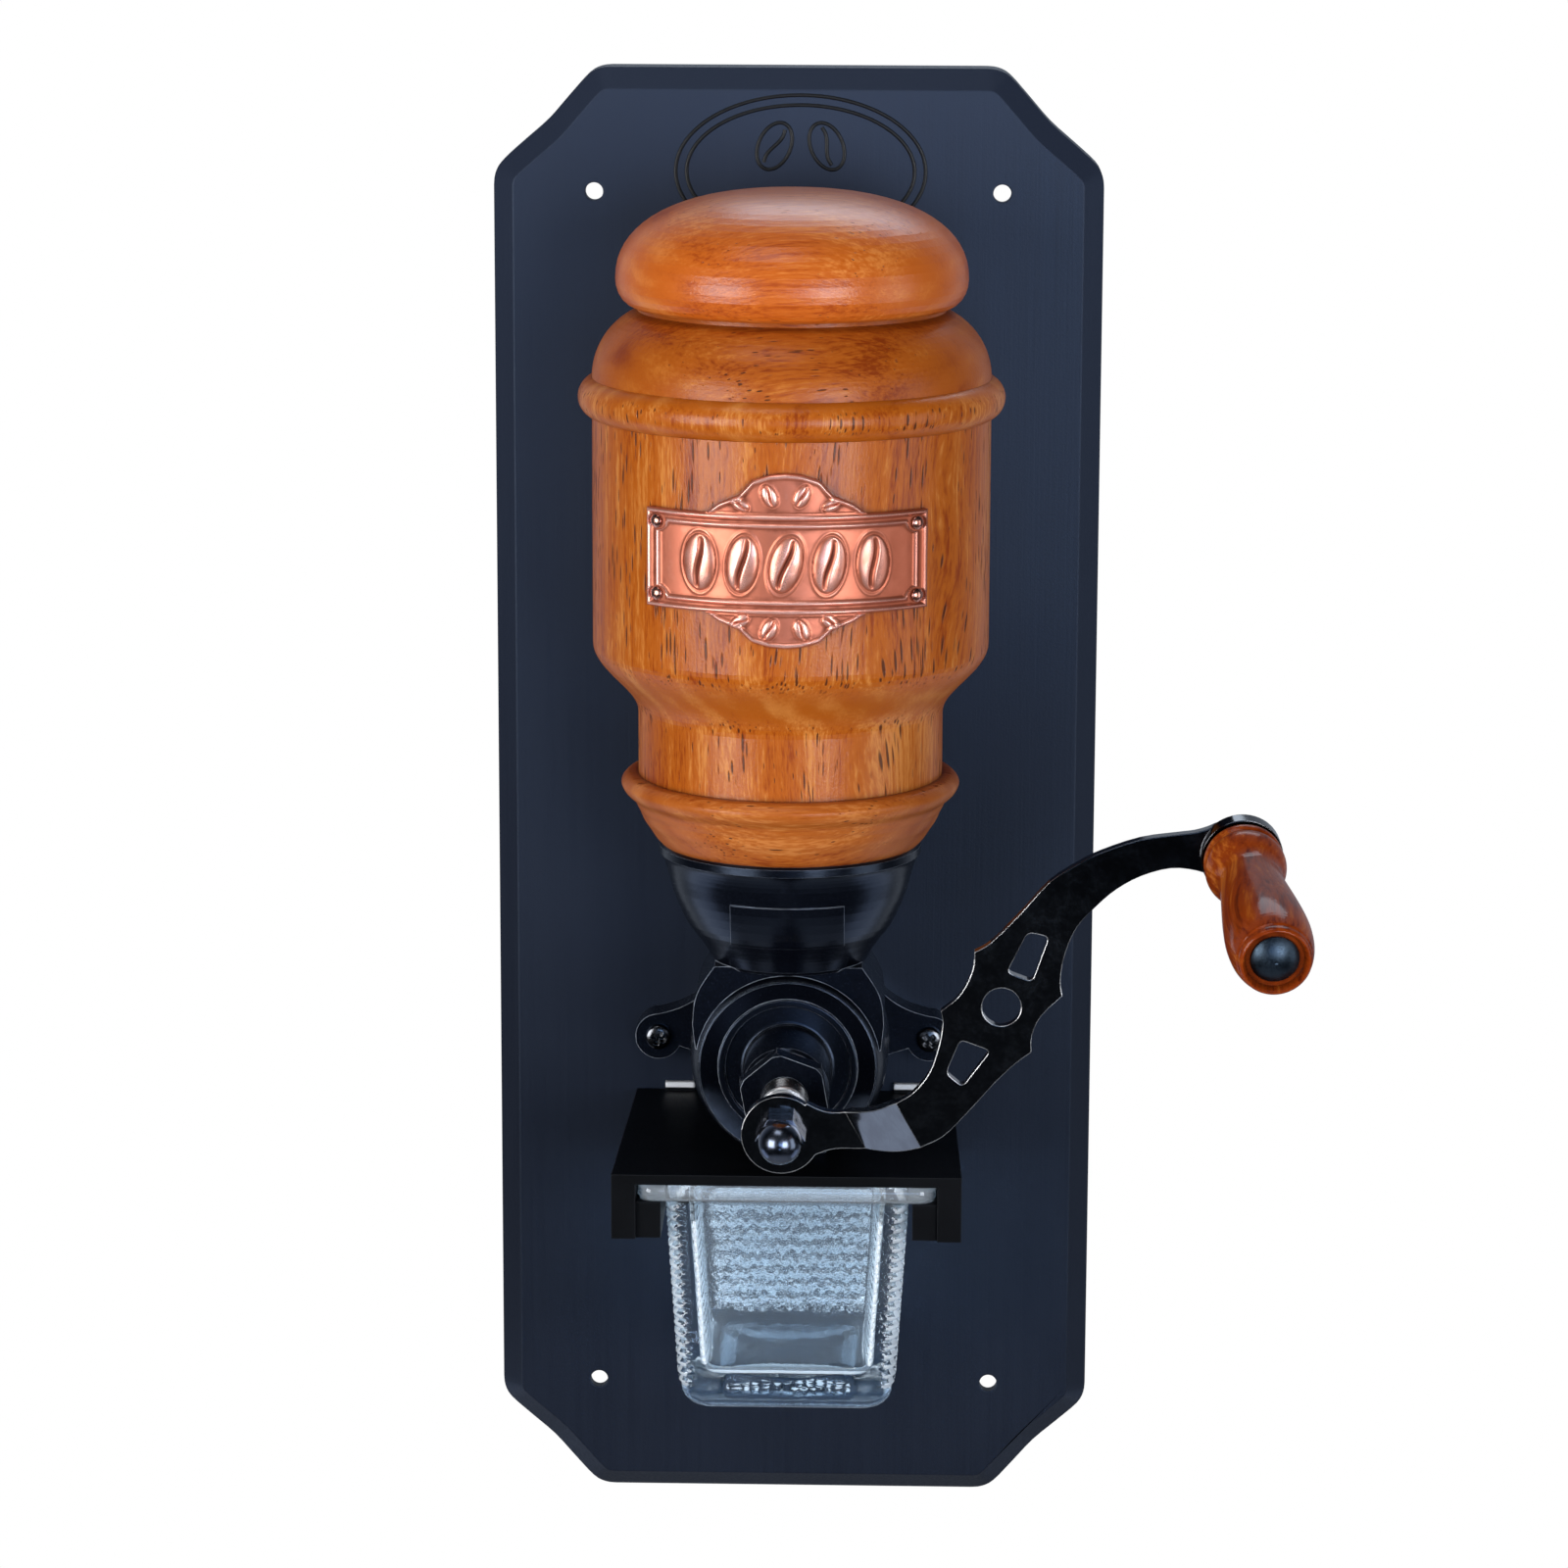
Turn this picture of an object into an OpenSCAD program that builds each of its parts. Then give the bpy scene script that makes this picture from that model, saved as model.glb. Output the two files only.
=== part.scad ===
// Wall mounted coffee mill: a turned wooden hopper on a cast mill, with a crank and a glass drawer.
// Millimetres. The origin is the middle of the board's back face, +Z is up, +X is to the right
// of a person facing the mill, and the front looks towards -Y.
// A "depth" is a distance ahead of the board's front face.

/* [Board] */
// Width of the board
board_w = 150; // [140:1:180]
// Height of the board
board_h = 365; // [350:1:420]
// Thickness of the board
board_t = 15; // [13:0.5:20]
// Width of the bevel round the front edge
board_bevel = 5; // [3:0.5:7]
// Length of a cut corner along each side
board_cut = 24; // [18:1:28]
// Distance of a wall hole from the nearest side of the board
hole_inset_x = 25; // [20:1:30]
// Distance of a wall hole from the nearest end of the board
hole_inset_z = 30; // [26:1:36]
// Diameter of a wall hole
wall_hole_d = 4.4; // [4:0.1:6]
// Thickness of the wood left in front of the pocket behind a wall hole
hole_lip = 3; // [2:0.5:5]
// Diameter of the pocket behind a wall hole
pocket_d = 15; // [12:0.5:18]

/* [Hopper] */
// Radius of the hopper's body
jar_r = 47.2; // [44:0.1:52]
// Thickness of the hopper's wall
jar_wall = 5; // [4:0.5:6]
// Radius of the neck below the body
neck_r = 36.4; // [35:0.2:39]
// Height of the straight part of the body
jar_body_h = 54.2; // [46:0.2:70]
// Height of the curve between neck and body
ogee_h = 17; // [14:0.5:20]
// Height of the straight neck
neck_h = 14.8; // [11:0.2:20]
// Height of the turned base under the neck
base_h = 16.9; // [16:0.1:22]
// Height of the bead round the top of the body
bead_h = 9.1; // [7:0.1:10]
// Height of the rounded shoulder
shoulder_h = 16.7; // [13:0.1:19]
// Height of the lid
lid_h = 27.3; // [24:0.1:34]
// Greatest radius of the lid
lid_r = 41.6; // [39:0.1:43]
// Gap between the hopper's bead and the board
jar_gap = 2.9; // [2:0.1:6]

/* [Plaque] */
// Length of the plaque along the hopper's curve
plaque_w = 69; // [56:1:76]
// Height of the plaque's middle panel
plaque_h = 22.9; // [18:0.1:26]
// Height of the crest above the panel
crest_h = 9.6; // [6:0.1:12]
// Thickness of the plaque's sheet
plaque_t = 0.8; // [0.6:0.1:1.2]

/* [Mill] */
// Height of the axle above the middle of the board
mill_z = -50.7; // [-56:0.1:-46]
// Radius of the grinding drum
drum_r = 24.2; // [23:0.1:27]
// Radius of the funnel's rim
funnel_r = 31.6; // [30.6:0.1:34]
// Height of the funnel's rim above the axle
funnel_h = 53; // [49:0.1:58]
// Radius of the bearing boss in front of the drum
boss_r = 10.4; // [9.8:0.1:12]
// Length of the bearing boss
boss_l = 20.6; // [16:0.1:26]
// Thickness of the flange on the board
flange_t = 9; // [7:0.5:11]
// Distance between the screws in the flange's ears
ear_pitch = 68.2; // [64:0.2:76]
// Radius of an ear
ear_r = 5.8; // [5.6:0.1:7.5]

/* [Grinding set] */
// Radius of the axle
shaft_r = 5.5; // [5:0.1:5.8]
// Outer radius of the fixed burr
burr_r = 16; // [15.2:0.1:16.4]
// Length of the fixed burr
burr_l = 18; // [14:0.5:19]
// Gap between the two burrs
burr_gap = 0.9; // [0.8:0.05:1.3]
// Width of the adjusting nut across its flats
nut_af = 19.5; // [18:0.5:22]
// Thickness of the adjusting nut
nut_t = 6; // [5:0.5:8]

/* [Crank] */
// Distance from the axle to the knob
crank_len = 124.1; // [112:0.1:140]
// Thickness of the crank's strip
arm_t = 3; // [2.5:0.1:3.5]
// How far the strip steps outwards between the hub and the arm
joggle = 13; // [9:0.5:16]
// Angle of the knob below the axle's direction
knob_droop = 11.6; // [4:0.1:14]
// Angle of the knob to the outside
knob_splay = 4.7; // [0:0.1:6]
// Length of the knob
knob_l = 53; // [46:0.5:60]
// Greatest radius of the knob
knob_r = 9.4; // [9:0.05:11]
// Radius of the knob's spindle
spindle_r = 3; // [2.5:0.1:3.3]

/* [Drawer] */
// Width of the glass drawer's flange
glass_w = 71.7; // [66:0.1:76]
// Thickness of the glass drawer's flange
glass_flange_t = 4.3; // [3.5:0.1:5.5]
// Height of the glass drawer
glass_h = 59.3; // [48:0.1:70]
// How much narrower the glass is at its foot
glass_taper = 7.5; // [4:0.5:10]
// Thickness of the glass walls
glass_wall = 5; // [4:0.5:6]
// Thickness of the glass floor
glass_floor = 8.5; // [6:0.5:11]
// Height of the drawer's housing
housing_h = 16; // [14:0.5:20]
// Thickness of the housing's top plate and back
housing_wall = 2.5; // [2:0.1:3]

/* [Fits] */
// Clearance of a running fit, on the radius
run_fit = 0.05; // [0.02:0.01:0.09]
// Clearance of pieces fixed together, on the radius
seat_fit = 0.03; // [0.02:0.01:0.06]
// Clearance of pieces that lift or slide apart
slip_fit = 0.35; // [0.3:0.05:0.5]

/* [Hidden] */
$fn = 96;
eps = 0.5;

paint_black = [0.09, 0.1, 0.14];
iron_black = [0.12, 0.12, 0.13];
oak = [0.66, 0.35, 0.13];
cherry = [0.5, 0.2, 0.08];
copper = [0.8, 0.48, 0.38];
steel = [0.72, 0.73, 0.75];
bronze = [0.72, 0.54, 0.26];
glass = [0.8, 0.9, 0.95, 0.5];

// Heights, from the axle up to the lid
rim_z = mill_z + funnel_h;
base_top = rim_z + base_h;
ogee_z = base_top + neck_h;
body_z = ogee_z + ogee_h;
bead_z = body_z + jar_body_h;
shoulder_z = bead_z + bead_h;
lid_z = shoulder_z + shoulder_h;

// Turned wood
bead_round = bead_h * 0.53;
bead_sink = 1.5;
bead_r = jar_r - bead_sink + bead_round;
jar_bore = jar_r - jar_wall;
neck_bore = neck_r - jar_wall;
lid_lip = 5.1;
lid_seat_r = lid_r - lid_lip;
lid_belly = lid_h * 0.24;
lid_seat_w = 2.4;
mouth_r = lid_seat_r - lid_seat_w;
lid_plug_h = 8;
lid_chamfer = 0.8;
spigot_h = 5;
spigot_wall = 3.6;
base_bore = neck_bore - spigot_wall;
base_chamfer = 2;
funnel_rim_w = 4;
plug_r = funnel_r - funnel_rim_w;
plug_h = 3;
base_floor = 2.5;
floor_r = 20;
jar_screw_r = 1.6;
jar_screw_pcr = (floor_r + base_bore - base_chamfer) / 2;
jar_screw_l = 12;
jar_head_r = 2.7;
jar_head_h = 1.8;

// Depths, from the board to the crank
drum_back = 17;
drum_front = 15.8;
drum_face_t = 4.2;
burr_back = 12;
washer_t = 1.2;
thread_l = 26.9;
tip_l = 8;
jar_d = bead_r + jar_gap;
drum_d0 = jar_d - drum_back;
drum_d1 = jar_d + drum_front;
cavity_d1 = drum_d1 - drum_face_t;
boss_d1 = drum_d1 + boss_l;
burr_d1 = jar_d - burr_back;
burr_d0 = burr_d1 - burr_l;
nut_d0 = boss_d1 + washer_t;
stub_d1 = nut_d0 + nut_t + thread_l;
square_d1 = stub_d1 + arm_t;
tip_d1 = square_d1 + tip_l;
arm_d = stub_d1 + joggle;

// Mill casting
throat_r = 22.2;
funnel_mouth_r = 9.5;
drum_wall = 5.4;
cavity_r = drum_r - drum_wall;
boss_wall = 2.4;
bush_r = boss_r - boss_wall;
boss_chamfer = 0.8;
rim_in = 2.5;
edge_round = 0.6;
dish_t = 1.6;
ring_r = 16.8;
ring_w = 1.8;
ring_t = 0.8;
root_round = 0.9;
cheek_front = 2.8;
panel_w = 27;
panel_h = 11;
panel_drop = 10.5;
panel_rise = 0.6;
foot_w = 18;
foot_sink = 4;
ear_x = ear_pitch / 2;
ear_drop = 8.2;
plate_r = 20;
plate_t = 4.4;
plate_d = 0.6;
plate_fit = 0.1;
plate_pcr = 17.8;
plate_screw_r = 1.1;
plate_screw_in = 5;
plate_head_r = 1.7;
plate_head_h = 1.4;
plate_sink = 1.6;
tap_spare = 3;
outlet_w = 18;
outlet_d0 = 13.5;
outlet_l = 9;
spout_wall = 2.5;
ear_screw_r = 1.9;
ear_head_r = 3.2;
ear_head_h = 2.2;
screw_in = board_t - 3;

// Grinding set
journal_r = shaft_r - 1;
journal_d0 = 1.4;
journal_d1 = 12;
rear_bush_r = 6.5;
rear_collar_r = 9;
rear_collar_t = 1.5;
cone_slope = 0.21;
cone_behind = 2;
cone_ahead = 1;
cone_wall = 2.7;
cone_d0 = burr_d0 - cone_behind;
cone_d1 = burr_d1 + cone_ahead;
cone_r1 = shaft_r + cone_wall;
cone_r0 = cone_r1 + cone_slope * (cone_d1 - cone_d0);
burr_mouth_l = 5;
burr_lip = 1.5;
fine_teeth = 16;
fine_tooth_w = 1.2;
fine_tooth_h = 5;
coarse_teeth = 10;
coarse_tooth_w = 1.6;
coarse_tooth_h = 4;
tooth_lean = 12;
tooth_skew = 18;
pin_r = 1.25;
pin_in = 2.6;
pin_short = 1.2;
pin_d = cone_d0 + pin_in;
worm_front = 6.6;
worm_l = jar_d + worm_front - cone_d1;
worm_throw = 3.2;
worm_r = 10.6;
worm_turns = 1.5;
seat_t = 2.2;
seat_d = cone_d1 + worm_l;
seat_r = 11;
spring_rise = 2.1;
spring_t = 0.8;
spring_gap = 0.6;

// Crank and knob
square_w = shaft_r * 1.38;
tip_r = 3;
hub_r = 9.1;
nut_turn = 40;
cap_af = 10;
cap_hex_h = 5;
cap_r = 5;
cap_dome = 6.5;
bend_angle = 29;
bend_u = 15.6;
eye_r = 9.2;
eye_t = 3.4;
knob_angle = 33.83;
knob_x = crank_len * cos(knob_angle);
knob_y = crank_len * sin(knob_angle);
eye_lift = 0.6;
eye_step = 0.9;
knob_d = arm_d + arm_t + eye_lift;
washer_r = 7.6;
knob_washer_t = 0.8;
rivet_r = 5.25;
rivet_h = 2.2;
rivet_gap = 0.2;
recess_r = 6.9;
recess_h = 2;
recess_edge = 0.5;

// Drawer and housing
housing_gap = 0.1;
housing_front = 24.4;
housing_side_back = 4.15;
housing_side_front = 6.15;
housing_top = mill_z - drum_r - housing_gap;
housing_l = jar_d + housing_front;
housing_in = glass_w + 2 * slip_fit;
housing_w_back = glass_w + 2 * housing_side_back;
housing_w_front = glass_w + 2 * housing_side_front;
spout_gap = 0.2;
glass_gap = 0.2;
glass_back_gap = 1.5;
glass_set_back = 0.4;
glass_ledge_side = 6.85;
glass_ledge_back = 4;
glass_ledge_front = 2.5;
glass_top = housing_top - housing_wall - glass_gap;
glass_d0 = housing_wall + glass_back_gap;
glass_d1 = housing_l - glass_set_back;
glass_body_w = glass_w - 2 * glass_ledge_side;
glass_body_d0 = glass_d0 + glass_ledge_back;
glass_body_d1 = glass_d1 - glass_ledge_front;
glass_round = 4;
flange_round = 2;
rail_w = 6;
rail_back = 5.5;
rail_front = 1.2;
rail_gap = 0.1;
housing_screw_in = 2.8;
housing_screw_up = 4.4;
housing_screw_x = glass_w / 2 - housing_screw_in;
housing_screw_z = housing_top - housing_h + housing_screw_up;
housing_screw_r = 1.7;
housing_head_r = 3;
housing_head_h = 2;
tab_x = 29;
tab_w = 7.5;
tab_h = 2.2;
tab_t = 2;

// Plaque
plaque_z = body_z + jar_body_h * 0.483;
crest_w = plaque_w * 0.53;
lower_crest_h = crest_h * 0.83;
shell_h = plaque_h + 4 * crest_h;
pin_inset = 3;
pin_head_r = 1.6;
pin_head_h = 1;
pin_shank_r = 0.9;
pin_hole_in = 0.8;
border_w = 1.6;
relief_t = 0.5;
bean_w = 8.4;
bean_h = 12;
cleft_w = 0.8;

// Point between b and c on the smooth curve through a, b, c and d
function curve_at(a, b, c, d, t) = 0.5 * (2 * b + (c - a) * t
    + (2 * a - 5 * b + 4 * c - d) * t * t + (3 * b - a - 3 * c + d) * t * t * t);

// Smooth curve through the points p, with n steps between neighbours
function smooth(p, n = 4) = [
    for (i = [0 : len(p) - 2], k = [0 : n - 1])
        curve_at(p[max(i - 1, 0)], p[i], p[i + 1], p[min(i + 2, len(p) - 1)], k / n),
    p[len(p) - 1]];

// The same points in the opposite order
function backwards(p) = [for (i = [len(p) - 1 : -1 : 0]) p[i]];

// The left turn of a direction, one unit long
function left_of(v) = [-v.y, v.x] / norm(v);

// A closed anticlockwise outline, drawn in by w
function inset(p, w) = [
    for (i = [0 : len(p) - 1])
        let (a = left_of(p[i] - p[(i + len(p) - 1) % len(p)]),
            b = left_of(p[(i + 1) % len(p)] - p[i]))
            p[i] + w * (a + b) / (1 + a * b)];

// A stack of equal rings of points, closed at both ends
function ring_faces(n, rings) = concat(
    [[for (i = [0 : n - 1]) i]],
    [for (r = [0 : rings - 2], i = [0 : n - 1])
        [r * n + i, (r + 1) * n + i, (r + 1) * n + (i + 1) % n, r * n + (i + 1) % n]],
    [[for (i = [n - 1 : -1 : 0]) (rings - 1) * n + i]]);

// Draws along +Z from a given depth on the axle, with +Y upwards
module on_axle(depth) translate([0, -board_t - depth, mill_z]) rotate([90, 0, 0]) children();

// Draws round the hopper's upright axis
module on_jar() translate([0, -board_t - jar_d, 0]) children();

// Draws along +Z ahead of the board's front face, with +Y upwards
module on_board() translate([0, -board_t, 0]) rotate([90, 0, 0]) children();

// Draws along +Z on the knob's axis, from the face of the crank's eye
module on_knob() translate([knob_x, -board_t - knob_d, mill_z + knob_y])
    rotate([90 + knob_droop, 0, knob_splay]) children();

// A solid between two depths on the axle
module axle_rod(d0, d1, r) on_axle(d0) cylinder(r = r, h = d1 - d0);

// A box given by its ranges of width, depth and height
module depth_box(x0, x1, d0, d1, z0, z1)
    translate([x0, -board_t - d1, z0]) cube([x1 - x0, d1 - d0, z1 - z0]);

// A round headed screw along -Z, its head standing on z = 0
module screw(r, length, head_r, head_h) {
    difference() {
        intersection() {
            cylinder(r = head_r, h = head_h);
            translate([0, 0, head_h - head_r * 1.7]) sphere(r = head_r * 1.7);
        }
        translate([0, 0, head_h * 0.4]) cylinder(r = head_r * 0.42, h = head_h, $fn = 6);
    }
    translate([0, 0, -length]) cylinder(r = r, h = length + head_h * 0.3);
}

// One corner of the board, with hollow cut and rounded ends
function board_corner(w, h, c) = smooth([
    [w, h - c - 5], [w - 0.35, h - c - 2.2], [w - 2, h - c + 0.8],
    [w - c * 0.3, h - c * 0.77], [w - c * 0.55, h - c * 0.55], [w - c * 0.77, h - c * 0.3],
    [w - c + 0.8, h - 2], [w - c - 2.2, h - 0.35], [w - c - 5, h]], 3);

board_ring = let (p = board_corner(board_w / 2, board_h / 2, board_cut), q = backwards(p)) concat(
    p, [for (v = q) [-v.x, v.y]], [for (v = p) [-v.x, -v.y]], [for (v = q) [v.x, -v.y]]);

// Places of the two ear screws
module at_ears() for (s = [-1, 1]) translate([s * ear_x, mill_z - ear_drop, 0]) children();

// Places of the two housing screws
module at_housing_screws() for (s = [-1, 1]) translate([s * housing_screw_x, housing_screw_z, 0])
    children();

// Places of the three hopper screws
module at_jar_screws() on_jar() for (i = [0 : 2]) rotate(90 + i * 120)
    translate([jar_screw_pcr, 0, rim_z + base_floor]) children();

// Places of the three screws behind the rear plate
module at_plate_screws() on_axle(plate_d + plate_sink) for (i = [0 : 2]) rotate(90 + i * 120)
    translate([plate_pcr, 0, 0]) rotate([180, 0, 0]) children();

module backboard() color(paint_black) difference() {
    n = len(board_ring);
    small = inset(board_ring, board_bevel);
    polyhedron(concat(
        [for (v = board_ring) [v.x, 0, v.y]],
        [for (v = board_ring) [v.x, board_bevel - board_t, v.y]],
        [for (v = small) [v.x, -board_t, v.y]]), ring_faces(n, 3));
    for (x = [-1, 1], z = [-1, 1])
        translate([x * (board_w / 2 - hole_inset_x), eps, z * (board_h / 2 - hole_inset_z)])
            rotate([90, 0, 0]) {
                cylinder(d = wall_hole_d, h = board_t + 2 * eps);
                cylinder(d = pocket_d, h = board_t + eps - hole_lip);
            }
    on_board() at_ears() translate([0, 0, -screw_in - eps])
        cylinder(r = ear_screw_r + seat_fit, h = board_t);
    on_board() at_housing_screws() translate([0, 0, -screw_in - eps])
        cylinder(r = housing_screw_r + seat_fit, h = board_t);
}

// Outside of the funnel, with the radius grown by g
function funnel_side(g) = smooth([
    [funnel_r + g, rim_z - 2.4], [funnel_r - 0.8 + g, rim_z - 3.6], [funnel_r - 2 + g, rim_z - 6.7],
    [funnel_r - 3.7 + g, rim_z - 12.8], [funnel_r - 6.6 + g, rim_z - 19.4],
    [funnel_r - 9.2 + g, rim_z - 23], [funnel_r - 11.1 + g, rim_z - 25.7],
    [funnel_r - 12.7 + g, rim_z - 28.6]], 3);

module funnel_outside(g = 0) polygon(concat(
    [[0, mill_z + drum_r - 0.8], [0, rim_z], [funnel_r - 0.6 + g, rim_z], [funnel_r + g, rim_z - 0.6]],
    funnel_side(g), [[funnel_r - 13.4 + g, mill_z + drum_r - 0.2],
        [funnel_r - 14 + g, mill_z + drum_r - 0.8]]));

// Raised bare panel on the front of the funnel
module funnel_panel() intersection() {
    on_jar() rotate_extrude() funnel_outside(panel_rise);
    depth_box(-panel_w / 2, panel_w / 2, jar_d, jar_d + 2 * funnel_r,
        rim_z - panel_drop - panel_h, rim_z - panel_drop);
}

// Rounded outer and inner corner of an outline at a radius and a depth
function soft_edge(r, d, e = edge_round) = [for (a = [0 : 30 : 90]) [r - e + e * cos(a), d - e + e * sin(a)]];
function soft_bore(r, d, e = edge_round) = [for (a = [0 : 30 : 90]) [r + e - e * sin(a), d - e + e * cos(a)]];

// Hollow corner between a face and a boss that stands on it
function soft_root(r, d, e) = [for (a = [0 : 30 : 90]) [r + e - e * sin(a), d + e - e * cos(a)]];

// Drum with a rim, a dished face, a narrow ring on the face and the bearing boss
module drum_outside() polygon(concat(
    [[0, 0], [throat_r, 0], [throat_r, drum_d0 - 6]],
    smooth([[drum_r - 1.6, drum_d0 - 1.2], [drum_r - 0.3, drum_d0 + 1], [drum_r, drum_d0 + 3]]),
    smooth([[drum_r, drum_d1 - 20], [drum_r - 0.3, drum_d1 - 13], [drum_r - 1, drum_d1 - 6],
        [drum_r - rim_in, drum_d1 - 1.2]]),
    soft_edge(drum_r - rim_in, drum_d1), [[ring_r, drum_d1 - dish_t]],
    soft_edge(ring_r, drum_d1 - dish_t + ring_t, ring_t / 2),
    soft_bore(ring_r - ring_w, drum_d1 - dish_t + ring_t, ring_t / 2),
    [[ring_r - ring_w, drum_d1 - dish_t]], soft_root(boss_r, drum_d1 - dish_t, root_round),
    [[boss_r, boss_d1 - boss_chamfer], [boss_r - boss_chamfer, boss_d1], [0, boss_d1]]));

// Cheeks that carry the funnel on the drum, seen from the front with the axle at the origin
module cheek_outline() polygon(concat(
    [[-15, 0], [15, 0], [drum_r - 1.9, 4]],
    smooth([[drum_r - 1.2, 10], [drum_r - 1.7, 15.5], [drum_r - 3.3, 19.6], [drum_r - 6.5, drum_r + 0.2]]),
    smooth([[6.5 - drum_r, drum_r + 0.2], [3.3 - drum_r, 19.6], [1.7 - drum_r, 15.5], [1.2 - drum_r, 10]]),
    [[1.9 - drum_r, 4]]));

module funnel_cheeks() on_axle(drum_d0)
    linear_extrude(drum_d1 - cheek_front - drum_d0) cheek_outline();

// Flange on the board, seen from the front with the axle at the origin
module flange_outline() {
    circle(r = throat_r);
    for (m = [0, 1]) mirror([m, 0]) {
        translate([ear_x, -ear_drop]) circle(r = ear_r);
        polygon(concat([[0, 9], [throat_r - 2.5, 9]],
            smooth([[throat_r - 1.2, 5], [throat_r + 2.4, 1.6], [throat_r + 6.9, -0.9],
                [ear_x, ear_r - ear_drop]]),
            [[ear_x - ear_r / 3, -ear_drop - ear_r / 3]],
            smooth([[ear_x - ear_r * 0.8, -ear_drop - ear_r * 0.4], [throat_r + 2, -ear_drop - ear_r * 0.7],
                [throat_r - 7.5, -ear_drop - ear_r * 1.3]]),
            [[0, -ear_drop - ear_r * 1.3]]));
    }
}

module funnel_inside() polygon([[0, rim_z + eps], [plug_r + slip_fit, rim_z + eps],
    [plug_r + slip_fit, rim_z - plug_h], [floor_r, rim_z - plug_h],
    [funnel_mouth_r, mill_z + drum_r - 2], [funnel_mouth_r, mill_z], [0, mill_z]]);

module mill_body() color(iron_black) difference() {
    union() {
        on_jar() rotate_extrude() funnel_outside();
        funnel_panel();
        funnel_cheeks();
        on_axle(0) rotate_extrude() drum_outside();
        on_axle(0) linear_extrude(flange_t) flange_outline();
        depth_box(-foot_w / 2, foot_w / 2, drum_d0 + foot_sink, drum_d1 - 3 * foot_sink,
            housing_top, mill_z - drum_r + foot_sink);
        depth_box(-outlet_w / 2 - spout_wall, outlet_w / 2 + spout_wall, outlet_d0 - spout_wall,
            outlet_d0 + outlet_l + spout_wall, housing_top - housing_wall, mill_z - burr_r);
    }
    on_jar() rotate_extrude() funnel_inside();
    axle_rod(-eps, plate_d + plate_t, plate_r + plate_fit);
    axle_rod(0, burr_d1 + eps, burr_r + seat_fit);
    axle_rod(burr_d1, cavity_d1, cavity_r);
    axle_rod(cavity_d1 - eps, boss_d1 + eps, bush_r + seat_fit);
    depth_box(-outlet_w / 2, outlet_w / 2, outlet_d0, outlet_d0 + outlet_l,
        housing_top - housing_wall - eps, mill_z - burr_r * 0.5);
    on_board() at_ears() cylinder(r = ear_screw_r + seat_fit, h = flange_t + eps);
    at_plate_screws() translate([0, 0, -plate_t - plate_screw_in - tap_spare])
        cylinder(r = plate_screw_r + seat_fit, h = plate_t + plate_screw_in + tap_spare);
    at_jar_screws() translate([0, 0, -jar_screw_l - eps])
        cylinder(r = jar_screw_r + seat_fit, h = jar_screw_l + eps);
}

module body_screws() color(steel) on_board() at_ears() translate([0, 0, flange_t])
    screw(ear_screw_r, flange_t + screw_in, ear_head_r, ear_head_h);

module rear_plate() color(steel) difference() {
    axle_rod(plate_d, plate_d + plate_t, plate_r);
    axle_rod(0, plate_d + plate_t + eps, rear_bush_r + seat_fit);
    at_plate_screws() {
        translate([0, 0, -plate_t]) cylinder(r = plate_screw_r + seat_fit, h = plate_t);
        cylinder(r = plate_head_r + plate_fit, h = plate_t);
    }
}

module rear_plate_screws() color(steel) at_plate_screws()
    screw(plate_screw_r, plate_t + plate_screw_in, plate_head_r, plate_head_h);

module rear_bush() color(bronze) difference() {
    union() {
        axle_rod(plate_d + plate_fit, plate_d + plate_t, rear_bush_r);
        axle_rod(plate_d + plate_t, plate_d + plate_t + rear_collar_t, rear_collar_r);
    }
    axle_rod(0, journal_d1, journal_r + run_fit);
}

module front_bush() color(bronze) difference() {
    axle_rod(cavity_d1, boss_d1, bush_r);
    axle_rod(cavity_d1 - eps, boss_d1 + eps, shaft_r + run_fit);
}

// Radius of the moving burr's cone at a depth
function cone_at(depth) = cone_r0 - cone_slope * (depth - cone_d0);

module outer_burr() color(steel) difference() {
    axle_rod(burr_d0, burr_d1, burr_r);
    on_axle(burr_d0 - eps) cylinder(h = burr_l + 2 * eps,
        r1 = cone_at(burr_d0 - eps) + burr_gap, r2 = cone_at(burr_d1 + eps) + burr_gap);
    on_axle(burr_d1 - burr_mouth_l) cylinder(h = burr_mouth_l + eps,
        r1 = cone_at(burr_d1 - burr_mouth_l) + burr_gap, r2 = burr_r - burr_lip);
    on_axle(burr_d0 - eps) for (i = [0 : fine_teeth - 1]) rotate(i * 360 / fine_teeth)
        translate([cone_at(burr_d0) + burr_gap, 0, 0]) rotate([0, -tooth_lean, 0])
            translate([-fine_tooth_h * 0.8, -fine_tooth_w / 2, 0])
                cube([fine_tooth_h, fine_tooth_w, burr_l * 1.1]);
}

module disc_spring() color(steel) on_axle(cavity_d1 - spring_rise) rotate_extrude()
    polygon([[shaft_r + spring_gap, 0], [shaft_r + spring_gap, spring_t], [seat_r, spring_rise],
        [seat_r + spring_gap, spring_rise], [seat_r + spring_gap, spring_rise - spring_t]]);

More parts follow.
